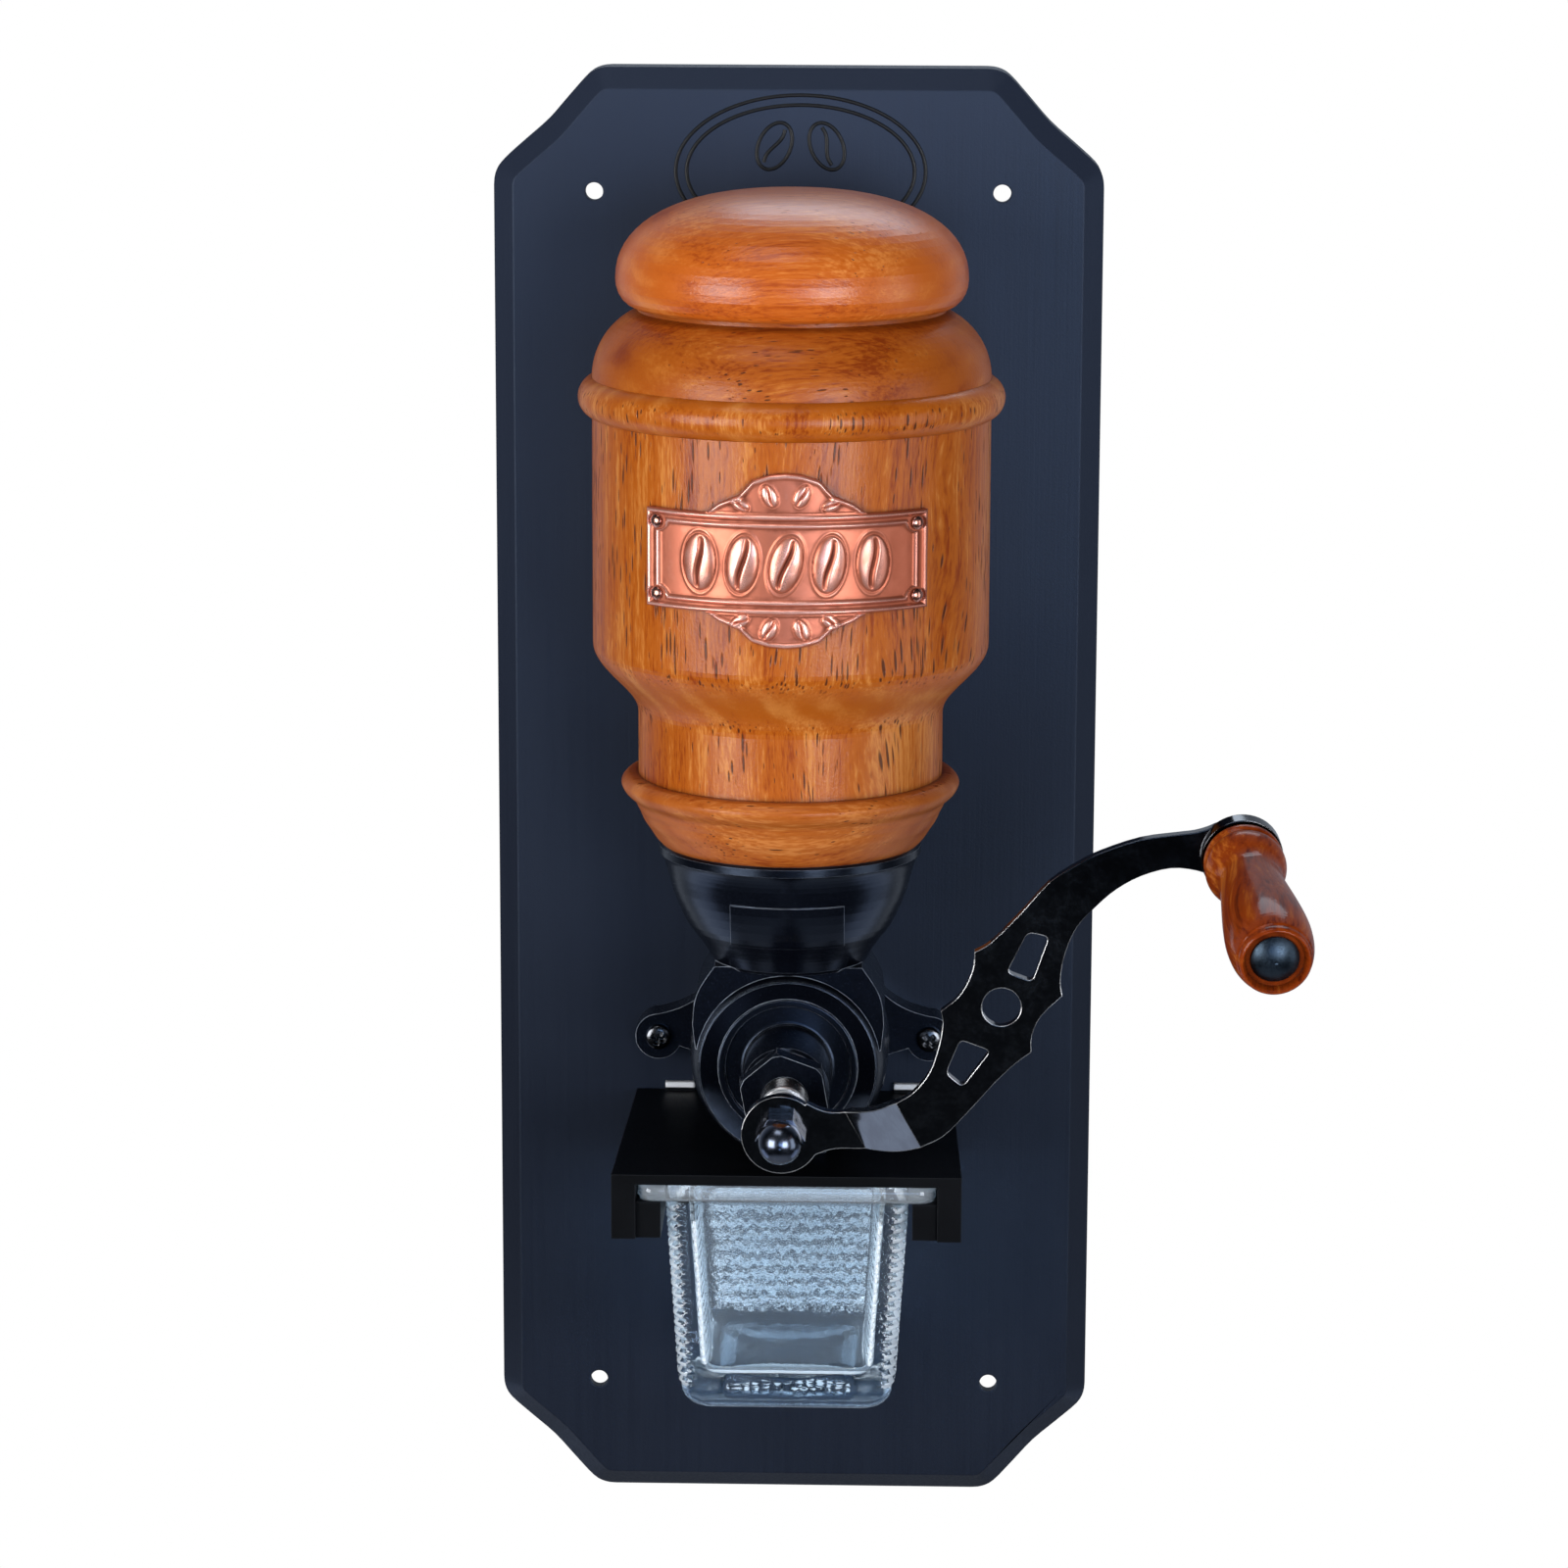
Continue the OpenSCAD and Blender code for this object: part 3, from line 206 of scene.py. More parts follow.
# Wood: scales are per mm, twice across the fibres and once along them
SWAY_SCALE = (0.035, 0.035, 0.012)
SWAY = 16.0
FROM_PITH = (58, 31, 0)
RING_SCALE = (0.2, 0.2, 0.02)
RING_JITTER = 5.0
STREAK_SCALE = (1.0, 1.0, 0.028)
FLECK_SCALE = (2.0, 2.0, 0.28)
CLOUD_SCALE = (0.06, 0.06, 0.02)
SPECK_SCALE = 1.7
CLUSTER_SCALE = (0.12, 0.12, 0.03)
CLUSTER_REACH = 0.27
PORE_REACH = 0.10
PORE_SHADE = 0.9
TONE_SPAN = (0.90, 1.58)
CREVICE_SHADE_REACH = 3.0
GRAIN_DEPTH = 0.16
WOOD_SHINE = 0.16


def wood(
        name, axis_turn, tones, pore, coat, ring=7.0, pore_size=(1.0, 0.10), pore_share=1.0,
        shift=(0, 0, 0), shine=WOOD_SHINE, coat_rough=0.2, crevice_shade=0.9, figure=1.0):
    """Lacquered wood whose fibres run along Z after the turn, with growth rings, fibres, open pores and
    painted shade in its creases.
    """
    s = Shader(name)
    fibre = Euler(axis_turn).to_matrix().transposed() @ Vector((0, 0, 1))
    turned = s.add("Mapping", {"Vector": s.place(), "Location": shift, "Rotation": axis_turn}).outputs[0]
    wavy = s.noise(s.vector("MULTIPLY", turned, SWAY_SCALE), detail=1.5)
    both = s.add("CombineXYZ", {0: wavy, 1: wavy}).outputs[0]
    sway = s.vector("SCALE", s.vector("SUBTRACT", both, (0.5, 0.5, 0)), scale=SWAY)
    grain = s.vector("ADD", turned, sway)

    across = s.vector("LENGTH", s.vector("MULTIPLY", s.vector("ADD", grain, FROM_PITH), (1, 1, 0)))
    jitter = s.noise(s.vector("MULTIPLY", turned, RING_SCALE))
    rings = s.math("SINE", s.total((across, 2 * math.pi / ring), (jitter, RING_JITTER)))
    streak = s.noise(s.vector("MULTIPLY", grain, STREAK_SCALE), detail=3.0, roughness=0.6)
    fleck = s.noise(s.vector("MULTIPLY", grain, FLECK_SCALE), detail=2.0, roughness=0.6)
    cloud = s.noise(s.vector("MULTIPLY", turned, CLOUD_SCALE), detail=2.0)
    speck = s.noise(turned, scale=SPECK_SCALE, detail=2.0)

    width, length = pore_size
    spread = s.span(s.noise(s.vector("MULTIPLY", turned, CLUSTER_SCALE), detail=1.0), 0.36, 0.64)
    reach = s.total((spread, CLUSTER_REACH * pore_share), (1.0, PORE_REACH * pore_share))
    dashes = s.cells(s.vector("MULTIPLY", grain, (width, width, length)))
    facing = s.math("ABSOLUTE", s.vector("DOT_PRODUCT", s.add("TexCoord").outputs["Normal"], tuple(fibre)))
    pores = s.math("MULTIPLY", s.span(s.math("DIVIDE", dashes, reach), 1.1, 0.6), s.span(facing, 0.7, 0.35))

    fade = s.span(facing, 0.75, 0.3, 0.2, 1.0)
    fine = s.math("MULTIPLY", s.math("SUBTRACT", fleck, 0.5), fade)
    lines = s.math("MULTIPLY", s.math("SUBTRACT", streak, 0.5), fade)
    tone = s.total((rings, 0.07), (lines, 0.9), (fine, 0.7 * figure), (cloud, 0.9), (1.0, 0.8))
    body = s.ramp(tone, *TONE_SPAN, *tones)
    colour = s.blend(s.math("MULTIPLY", pores, PORE_SHADE), body, pore)
    # Painted shade: creases found by ambient occlusion are darkened toward the pore colour.
    colour = s.blend(s.span(s.nook(CREVICE_SHADE_REACH), 0.82, 0.35, 0.0, crevice_shade), colour, pore)
    height = s.total((streak, 0.3 * figure), (fleck, 0.3 * figure), (pores, -0.7))
    sheen = s.span(s.total((fleck, 1.0), (pores, 0.5)), 0.3, 1.1, 0.40, 0.62)
    ripple = s.total((speck, 0.6 * figure), (height, 0.8))
    return s.set(
        Base_Color=colour, Roughness=sheen, Normal=s.bump(height, GRAIN_DEPTH, 0.8),
        Specular_IOR_Level=shine, Coat_Weight=coat, Coat_Roughness=coat_rough,
        Coat_Normal=s.bump(ripple, GRAIN_DEPTH, 0.7))


BOARD_ROUND = 0.6


def board_paint():
    """Satin navy black paint on wood, with the grain just showing, worn edges, and painted light that makes
    it lighter toward the top.
    """
    s = Shader("board_paint")
    here = s.place()
    soft, edge = s.rounded(BOARD_ROUND)
    peel = s.noise(here, scale=1.6, detail=3.0)
    grain = s.noise(s.vector("MULTIPLY", here, (1.1, 1.1, 0.018)), detail=4.0, roughness=0.65)
    cloud = s.noise(here, scale=0.018, detail=2.0)
    paint = s.blend(s.span(cloud, 0.3, 0.7), (0.0056, 0.0070, 0.0126), (0.0080, 0.0100, 0.0175))
    # Painted light: the paint grows lighter toward the top of the board, standing in for the light that
    # falls there.
    painted_top_light = s.span(s.parts(here)[2], BOARD_LOW[2] * 0.65, BOARD_HIGH[2] * 1.05, 0.0, 0.9)
    paint = s.blend(painted_top_light, paint, (0.0215, 0.0280, 0.0480))
    worn = s.math("MULTIPLY", edge, s.span(s.total((grain, 0.6), (cloud, 0.6)), 0.5, 0.8))
    colour = s.blend(s.math("MULTIPLY", worn, 0.5), paint, (0.045, 0.05, 0.065))
    height = s.total((peel, 0.10), (grain, 0.12))
    rough = s.span(s.total((grain, 1.0), (peel, 1.0)), 0.6, 1.4, 0.38, 0.5)
    return s.set(
        Base_Color=colour, Roughness=rough, Specular_IOR_Level=0.33, Specular_Tint=(0.56, 0.72, 1.0, 1),
        Normal=s.bump(height, 0.35, 0.6, soft))


def motif_paint():
    """Gloss black line paint."""
    s = Shader("motif_paint")
    peel = s.noise(s.place(), scale=2.4, detail=2.0)
    colour = s.blend(peel, (0.002, 0.0022, 0.003), (0.004, 0.0045, 0.006))
    return s.set(
        Base_Color=colour, Roughness=s.span(peel, 0.3, 0.7, 0.35, 0.5), Specular_IOR_Level=0.3,
        Normal=s.bump(peel, 0.04, 0.5))


PANEL_FADE = 4


def cast_iron(name, edge_wear_glint, edge_radius):
    """Black enamel on cast iron: small pits, a slow ripple, a gloss, and pale edges that are partly worn
    enamel and partly a painted highlight, dimmer on the funnel.
    """
    s = Shader(name)
    here = s.place()
    soft, edge = s.rounded(edge_radius)
    pits = s.noise(here, scale=3.2, detail=3.0, roughness=0.6)
    ripple = s.noise(here, scale=0.35, detail=2.0)
    enamel = s.blend(s.span(pits, 0.35, 0.7), (0.0014, 0.0018, 0.0032), (0.0030, 0.0037, 0.0066))
    # Pale edge lines: partly worn enamel and partly a painted highlight. Above the panel's foot the painted
    # highlight is dimmed.
    worn = s.math("MULTIPLY", edge, s.span(ripple, 0.3, 0.6, 0.45, 1.0))
    share = s.span(s.parts(here)[2], PANEL_FOOT - PANEL_FADE, PANEL_FOOT, 1.0, 0.4)
    colour = s.blend(s.math("MULTIPLY", worn, share), enamel, edge_wear_glint)
    height = s.total((pits, 0.35), (ripple, 0.65))
    rough = s.span(pits, 0.3, 0.75, 0.19, 0.28)
    return s.set(
        Base_Color=colour, Roughness=rough, Specular_IOR_Level=0.45, Specular_Tint=(0.52, 0.68, 1.0, 1),
        Normal=s.bump(height, 0.08, 0.5, soft))


SHEET_ROUND = 0.4
TAB_ROUND = 1.3
TAB_GLINT_SPAN = (-1.5, -1.1)


def black_sheet():
    """Folded sheet steel in fine textured black powder coat, with a painted highlight in near white along
    the upper edges of its tabs.
    """
    s = Shader("black_sheet")
    here = s.place()
    soft, edge = s.rounded(SHEET_ROUND)
    powder = s.noise(here, scale=4.5, detail=2.0, roughness=0.7)
    cloud = s.noise(here, scale=0.06, detail=2.0)
    # Painted highlight: the upper edges of the tabs are painted near white, standing in for light caught
    # there.
    tab_glint = s.span(s.math("SUBTRACT", s.parts(here)[2], TAB_TOP), *TAB_GLINT_SPAN)
    coat = s.blend(s.span(cloud, 0.3, 0.7), (0.0016, 0.0018, 0.0024), (0.0030, 0.0033, 0.0042))
    coat = s.blend(s.math("MULTIPLY", edge, 0.25), coat, (0.05, 0.055, 0.065))
    normal = s.blend_normals(tab_glint, soft, s.rounded(TAB_ROUND)[0])
    colour = s.blend(tab_glint, coat, (0.92, 0.93, 0.95))
    rough = s.span(powder, 0.3, 0.7, 0.36, 0.5)
    return s.set(
        Base_Color=colour, Roughness=rough, Specular_IOR_Level=0.09,
        Normal=s.bump(powder, 0.05, 0.5, normal))


def metal(
        name, light, dark, rough, streak=(0.3, 0.3, 0.3), scratch=0.03, edge=None, edge_radius=0.25,
        edge_end=None):
    """Metal with a fine drawn finish, tarnish clouds, light scratches and, if asked, pale edges that are
    partly worn metal and partly a painted highlight.

    With edge_end they are pale up to that distance from the axle, and beyond it the metal is darker.
    """
    s = Shader(name)
    here = s.place()
    soft, rim = s.rounded(edge_radius)
    drawn = s.noise(s.vector("MULTIPLY", here, streak), scale=10.0, detail=3.0, roughness=0.6)
    cloud = s.noise(here, scale=0.22, detail=3.0)
    colour = s.blend(s.span(s.total((cloud, 1.0), (drawn, 0.4)), 0.5, 0.95), dark, light)
    metallic = 1.0
    if edge:
        # Pale edges: partly worn metal and partly a painted highlight, near white and less metallic.
        edge_wear_glint_mask = s.math("MULTIPLY", rim, s.span(s.noise(here, scale=0.09), 0.35, 0.6, 0.45, 1.0))
        if edge_end:
            aside = s.vector("MULTIPLY", s.vector("SUBTRACT", here, (0, 0, AXLE_Z)), (1, 0, 1))
            beyond = s.span(s.vector("LENGTH", aside), edge_end * 0.85, edge_end * 1.1)
            colour = s.blend(s.math("MULTIPLY", beyond, 0.65), colour, (0.02, 0.022, 0.028))
            edge_wear_glint_mask = s.math("MULTIPLY", edge_wear_glint_mask, s.span(beyond, 0.0, 1.0, 1.0, 0.08))
        colour = s.blend(edge_wear_glint_mask, colour, edge)
        metallic = s.math("SUBTRACT", 1.0, s.math("MULTIPLY", edge_wear_glint_mask, 0.4))
    gloss = s.span(s.total((drawn, 1.0), (cloud, 1.0)), 0.7, 1.35, rough * 0.7, rough * 1.35)
    return s.set(
        Base_Color=colour, Metallic=metallic, Roughness=gloss, Normal=s.bump(drawn, scratch, 0.4, soft))


def copper_plaque():
    """Embossed copper: worn bright on the high lines and dark with age in the low ones, and darkened toward
    its right end by painted shade.
    """
    s = Shader("copper_plaque")
    here = s.place()
    wear = s.add("Attribute", attribute_name="wear").outputs["Fac"]
    cloud = s.noise(here, scale=0.35, detail=3.0)
    grit = s.noise(here, scale=5.0, detail=2.0)
    worn = s.total((wear, 1.0), (cloud, 0.35), (1.0, -0.175))
    old = s.blend(s.span(worn, 0.08, 0.46), (0.14, 0.026, 0.010), (0.55, 0.162, 0.092))
    colour = s.blend(s.span(worn, 0.5, 0.85), old, (0.92, 0.47, 0.38))
    # Painted shade: the copper darkens toward its right end, where the curved plaque turns from the light.
    right_end_shade = s.span(s.total((s.parts(here)[0], 1 / PLAQUE_X), (cloud, 0.5)), 0.55, 1.2, 0.0, 0.72)
    colour = s.blend(right_end_shade, colour, (0.26, 0.048, 0.014))
    rough = s.span(s.total((worn, 1.0), (grit, 0.3)), 0.2, 1.1, 0.46, 0.24)
    return s.set(Base_Color=colour, Metallic=0.6, Roughness=rough, Normal=s.bump(grit, 0.03, 0.5))


GLASS_IOR = 1.45


def clear_glass():
    """Pressed glass with the slow waves of a mould and a faint cold tint."""
    s = Shader("clear_glass")
    here = s.place()
    wave = s.noise(here, scale=0.16, detail=1.0)
    haze = s.noise(here, scale=1.2, detail=2.0)
    s.set(
        Base_Color=s.blend(haze, (0.82, 0.91, 0.98), (0.90, 0.96, 0.99)),
        Roughness=s.span(haze, 0.3, 0.8, 0.01, 0.05), IOR=GLASS_IOR, Transmission_Weight=1.0,
        Normal=s.bump(wave, 0.5, 0.35))
    s.pass_lamps((0.9, 0.95, 0.98))
    return s.material


def satin_glass(name, dark, light, clear, rough):
    """Glass with a satin skin that scatters some light."""
    s = Shader(name)
    here = s.place()
    haze = s.noise(here, scale=0.9, detail=3.0)
    s.set(
        Base_Color=s.blend(haze, dark, light), Roughness=s.span(haze, 0.3, 0.8, rough, rough * 2.5),
        IOR=GLASS_IOR, Transmission_Weight=clear, Normal=s.bump(haze, 0.15, 0.4))
    s.pass_lamps((0.75, 0.84, 0.9))
    return s.material


def floor_white():
    """Pale floor that fades out into the white round it."""
    s = Shader("floor_white")
    away = s.vector("LENGTH", s.add("TexCoord").outputs["Object"])
    fade = s.span(away, FLOOR_R * 0.55, FLOOR_R * 0.98, 1.0, 0.0)
    s.set(Base_Color=(0.86, 0.86, 0.86, 1), Roughness=0.7, Alpha=fade)
    return s.material


# Shapes


def show(name, mesh, body, materials, sharp=40):
    """Puts a mesh in the scene on a body, smooth except where its faces meet at a sharp angle (degrees)."""
    made = bpy.data.objects.new(name, mesh)
    bpy.context.scene.collection.objects.link(made)
    for material in materials:
        mesh.materials.append(material)
    mesh.polygons.foreach_set("use_smooth", np.ones(len(mesh.polygons), bool))
    mesh.set_sharp_from_angle(angle=math.radians(sharp))
    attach(made, body)
    return made


def skin(rings, loop=False):
    """Points and faces of a skin over rings of equally many points, with flat ends or joined in a loop."""
    rings = np.asarray(rings, float)
    count, around = rings.shape[:2]
    row = np.arange(count if loop else count - 1)[:, None]
    near = np.arange(around)[None, :]
    far = (near + 1) % around
    here, there = row * around, (row + 1) % count * around
    faces = np.stack([here + near, here + far, there + far, there + near], -1).reshape(-1, 4).tolist()
    if not loop:
        faces.append(list(range(around - 1, -1, -1)))
        faces.append(list(range((count - 1) * around, count * around)))
    return rings.reshape(-1, 3), faces


def make_mesh(name, pieces):
    """One mesh from several pairs of points (in millimetres) and faces, with its faces turned outwards."""
    points, faces, start = [], [], 0
    for some_points, some_faces in pieces:
        points.append(np.asarray(some_points, float))
        faces += [[i + start for i in face] for face in some_faces]
        start += len(some_points)
    mesh = bpy.data.meshes.new(name)
    mesh.from_pydata((np.concatenate(points) * MM).tolist(), [], faces)
    turned = bmesh.new()
    turned.from_mesh(mesh)
    bmesh.ops.recalc_face_normals(turned, faces=turned.faces)
    turned.to_mesh(mesh)
    turned.free()
    return mesh


def smooth_step(value, low, high):
    t = np.clip((value - low) / (high - low), 0, 1)
    return t * t * (3 - 2 * t)


def on_axle(x, up, depth):
    """A point given by its place round the axle and its depth ahead of the board."""
    return np.stack(np.broadcast_arrays(x, BOARD_FRONT - depth, AXLE_Z + up), -1)


def circle(steps):
    return np.linspace(0, 2 * math.pi, steps + 1)[:-1]


# Line motif on the board

MOTIF_AT = (0.6, 157.6)
OVAL = (30.6, 18.6)
INNER_OVAL = (27.9, 16.2)
LINE_W = 1.0
LINE_H = 0.24
LINE_SUNK = 0.1
LINE_PROFILE = ((0.5, -LINE_SUNK / LINE_H), (0.42, 0.45), (0.2, 0.95))
BEAN = (3.9, 6.0)
BEAN_X = 6.4
BEAN_UP = 6.2
BEAN_LEAN = 24
CLEFT_REACH = 0.78
CLEFT_SWAY = 0.24
CLEFT_BEND = 2.9


def ridge(path, closed=True):
    """A low rounded line along a path of places on the board's face."""
    path = np.asarray(path, float)
    ahead = np.roll(path, -1, 0) - np.roll(path, 1, 0)
    if not closed:
        ahead = np.gradient(path, axis=0)
    ahead /= np.linalg.norm(ahead, axis=1)[:, None]
    side = np.stack([-ahead[:, 1], ahead[:, 0]], -1)
    rings = []
    for share, lift in [(-w, h) for w, h in LINE_PROFILE] + list(LINE_PROFILE[::-1]):
        at = path + side * share * LINE_W
        rings.append(np.stack([at[:, 0], np.full(len(at), BOARD_FRONT - lift * LINE_H), at[:, 1]], -1))
    return skin(np.stack(rings, 1), loop=closed)


def board_motif():
    """A double oval with two coffee beans, in fine raised lines."""
    turn = circle(120)
    cx, cz = MOTIF_AT
    pieces = []
    for w, h in (OVAL, INNER_OVAL):
        pieces.append(ridge(np.stack([cx + w * np.cos(turn), cz + h * np.sin(turn)], -1)))
    for side in (-1, 1):
        lean = math.radians(side * BEAN_LEAN)
        c, k = math.cos(lean), math.sin(lean)
        wide, high = BEAN

        def place(u, v):
            return np.stack([cx + side * BEAN_X + u * c - v * k, cz + BEAN_UP + u * k + v * c], -1)

        pieces.append(ridge(place(wide * np.cos(turn), high * np.sin(turn))))
        run = np.linspace(-CLEFT_REACH, CLEFT_REACH, 40)
        pieces.append(ridge(place(CLEFT_SWAY * wide * np.sin(CLEFT_BEND * run), high * run), closed=False))
    show("board_motif", make_mesh("board_motif", pieces), "frame", [MOTIF], sharp=60)


# Threaded axle

SHAFT_R = (SHAFT_HIGH[2] - SHAFT_LOW[2]) / 2
SHAFT_START = BOARD_FRONT - SHAFT_HIGH[1]
SHAFT_TIP = BOARD_FRONT - SHAFT_LOW[1]
TIP_L = 8
SQUARE_L = 3
SQUARE_END = SHAFT_TIP - TIP_L
SHOULDER = SQUARE_END - SQUARE_L
NUT_FRONT = BOARD_FRONT - box_of("adjusting_nut")[0][1]
THREAD_BEHIND = 9
THREAD_AHEAD = 8.6
THREAD_START = NUT_FRONT - THREAD_BEHIND
THREAD_END = NUT_FRONT + THREAD_AHEAD
JOURNAL_R = 4.5
JOURNAL_END = 12.0
NECK_R = 4.3
SQUARE_W = 7.59
TIP_R = 3.0
THREAD_LEAD = 1.0
THREAD_DEPTH = 0.62
THREAD_STEPS = 8
THREAD_RUN_IN = 1.5
THREAD_RUN_OUT = 0.8
END_CHAMFER = 0.5
CHAMFER_START = THREAD_END - END_CHAMFER
TIP_CHAMFER = 0.4
BARE_BAND = (CHAMFER_START - 0.4, THREAD_END + 0.1)
OVERLAP = 0.2


def threaded_shaft():
    """The axle, with the fine thread that the adjusting nut runs on and the uncoated end of that thread."""
    turn = circle(72)

    def ring(depth, radius):
        return on_axle(radius * np.sin(turn), radius * np.cos(turn), depth)

    rings = [ring(d, JOURNAL_R) for d in (SHAFT_START, JOURNAL_END)] + [ring(JOURNAL_END, SHAFT_R)]
    for depth in np.arange(THREAD_START, CHAMFER_START, THREAD_LEAD / THREAD_STEPS):
        phase = (depth / THREAD_LEAD + turn / (2 * math.pi)) % 1
        fade = min(1, (depth - THREAD_START) / THREAD_RUN_IN, (CHAMFER_START - depth) / THREAD_RUN_OUT)
        rings.append(ring(depth, SHAFT_R - THREAD_DEPTH * fade * np.abs(2 * phase - 1)))
    rings += [ring(CHAMFER_START, SHAFT_R), ring(THREAD_END, SHAFT_R - END_CHAMFER)]
    rings += [ring(THREAD_END, NECK_R), ring(SHOULDER, NECK_R)]
    corners = np.array([[-1, -1], [1, -1], [1, 1], [-1, 1]]) * SQUARE_W / 2
    block = [on_axle(corners[:, 0], corners[:, 1], d) for d in (SHOULDER - OVERLAP, SQUARE_END)]
    end = [ring(d, TIP_R) for d in (SQUARE_END - OVERLAP, SHAFT_TIP - TIP_CHAMFER)]
    end.append(ring(SHAFT_TIP, TIP_R - TIP_CHAMFER))
    mesh = make_mesh("threaded_shaft", [skin(rings), skin(block), skin(end)])
    made = show("threaded_shaft", mesh, "crank", [DARK_STEEL, BARE_STEEL])
    for face in mesh.polygons:
        depth = BOARD_FRONT - face.center.y / MM
        face.material_index = int(BARE_BAND[0] < depth < BARE_BAND[1])
    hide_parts("drive_shaft")


# Screws in the ears

EAR_LOW, EAR_HIGH = box_of("body_screws")
HEAD_R = (EAR_HIGH[2] - EAR_LOW[2]) / 2
HEAD_H = 2.2
HEAD_RINGS = 34
EAR_X = EAR_HIGH[0] - HEAD_R
EAR_Z = (EAR_LOW[2] + EAR_HIGH[2]) / 2
EAR_FACE = 9.0
SCREW_END = BOARD_FRONT - EAR_HIGH[1]
CROSS_HALF = (0.39, 0.624)
CROSS_REACH = (1.48, 1.85)
CROSS_DEPTH = 1.3
SHANK_R = 1.9
SCREW_TWISTS = ((-1, 20), (1, 48))

# Shares of a head: the dome in its height, the flat spot and the round rim in its radius, and the rim's drop
HEAD_DOME = 0.38
HEAD_MIDDLE = 0.03
HEAD_ROUND = 0.93
HEAD_DROP = 0.55


def ear_screws():
    """Two round headed cross slot screws."""
    turn = circle(96)
    pieces = []
    for side, twist in SCREW_TWISTS:

        def ring(radius, depth):
            up = radius * np.cos(turn) + EAR_Z - AXLE_Z
            return on_axle(side * EAR_X + radius * np.sin(turn), up, depth)

        rings = []
        for share in np.linspace(HEAD_MIDDLE, 1, HEAD_RINGS):
            radius = share * HEAD_R
            height = HEAD_H * (1 - HEAD_DOME + HEAD_DOME * math.sqrt(max(0, 1 - share**2)))
            height *= 1 - smooth_step(share, HEAD_ROUND, 1.0) * HEAD_DROP
            angle = turn - math.radians(twist)
            u, v = np.abs(radius * np.sin(angle)), np.abs(radius * np.cos(angle))
            arm = 1 - smooth_step(np.minimum(u, v), *CROSS_HALF)
            slot = arm * (1 - smooth_step(np.maximum(u, v), *CROSS_REACH))
            rings.append(ring(radius, EAR_FACE + height - CROSS_DEPTH * slot))
        rings += [ring(r, d) for r, d in ((HEAD_R, EAR_FACE), (SHANK_R, EAR_FACE), (SHANK_R, SCREW_END))]
        pieces.append(skin(rings))
    mesh = make_mesh("ear_screws", pieces)
    made = show("ear_screws", mesh, "frame", [SCREW_STEEL], sharp=50)
    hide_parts("body_screws")


# Plaque

PLAQUE_LOW, PLAQUE_HIGH = box_of("jar_plaque")
PLAQUE_X = PLAQUE_HIGH[0]
PANEL_HALF = 11.45
CREST_HALF = 18.28
CREST_H = 9.6
LOWER_CREST_H = PLAQUE_HIGH[2] - PLAQUE_LOW[2] - 2 * PANEL_HALF - CREST_H
PLAQUE_Z = PLAQUE_HIGH[2] - PANEL_HALF - CREST_H
SHEET_GAP = 0.05
SHEET_R = JAR_R + SHEET_GAP
SHEET_T = 0.7
SHEET_UP = 0.30
PIN_X = 29.5
PIN_Z = 8.45
PIN_SEAT_R = 2.0
NOTCH_R = 5.6
RIM_SPILL = 0.6
FIELD_SUNK = 0.14
FIELD_EDGE = (0.2, 1.0)
PLAQUE_GRID = (321, 225)
WEAR_REACH = 9
WEAR_GAIN = 1.1
BACK_WEAR = 0.6

# Outline of half a crest: shares of its half width and of its height
CREST_OUTLINE = (
    (0, 1), (0.2, 0.965), (0.42, 0.83), (0.5, 0.66), (0.6, 0.45), (0.72, 0.36), (0.83, 0.27), (0.93, 0.13),
    (1.0, 0.0))
CREST_STEPS = 201
CREST_SMOOTH = 13
CREST_FADE = 0.4

# Raised lines of the plaque: distance from the edge, half width, height
RIM_LINE = (0.55, 0.5, 0.62)
FRAME_LINE = (2.5, 0.42, 0.5)
CREST_LINE = (0.6, 0.45, 0.55)

# Beans in the row: half width, half height, rise. Beans in a crest: place, lift, turn, half width.
ROW_BEAN = (3.7, 6.6, 0.95)
ROW_STEP = 9.9
ROW_LEAN = -14
ROW_FAN = 7
CREST_BEANS = ((10.4, 0.24, 62, 1.5), (3.7, 0.46, 24, 1.75))
CREST_BEAN_RATIO = 1.55
CREST_BEAN_RISE = 0.62

# Form of each bean, in shares of its size: sway, bend, half width and depth of its cleft, and height, place
# and half width of the line round it
BEAN_DOME = 2.4
BEAN_CLEFT = (0.16, 2.6, 0.13, 0.85)
BEAN_CLEFT_END = (0.02, 0.2)
BEAN_LINE = (0.18, 1.13, 0.07)


def crest_edge(x, rise):
    """Height of a crest above the panel, at a distance from the middle."""
    at, up = np.array(CREST_OUTLINE).T
    fine = np.linspace(0, 1, CREST_STEPS)
    curve = np.pad(np.interp(fine, at, up), CREST_SMOOTH // 2, mode="edge")
    curve = np.convolve(curve, np.ones(CREST_SMOOTH) / CREST_SMOOTH, mode="valid")
    return rise * np.interp(np.abs(x) / CREST_HALF, fine, curve, right=0.0)


def bell(value, middle, width):
    """1 where the value is the middle one, and less the more widths it lies away."""
    return np.exp(-(((value - middle) / width) ** 2))


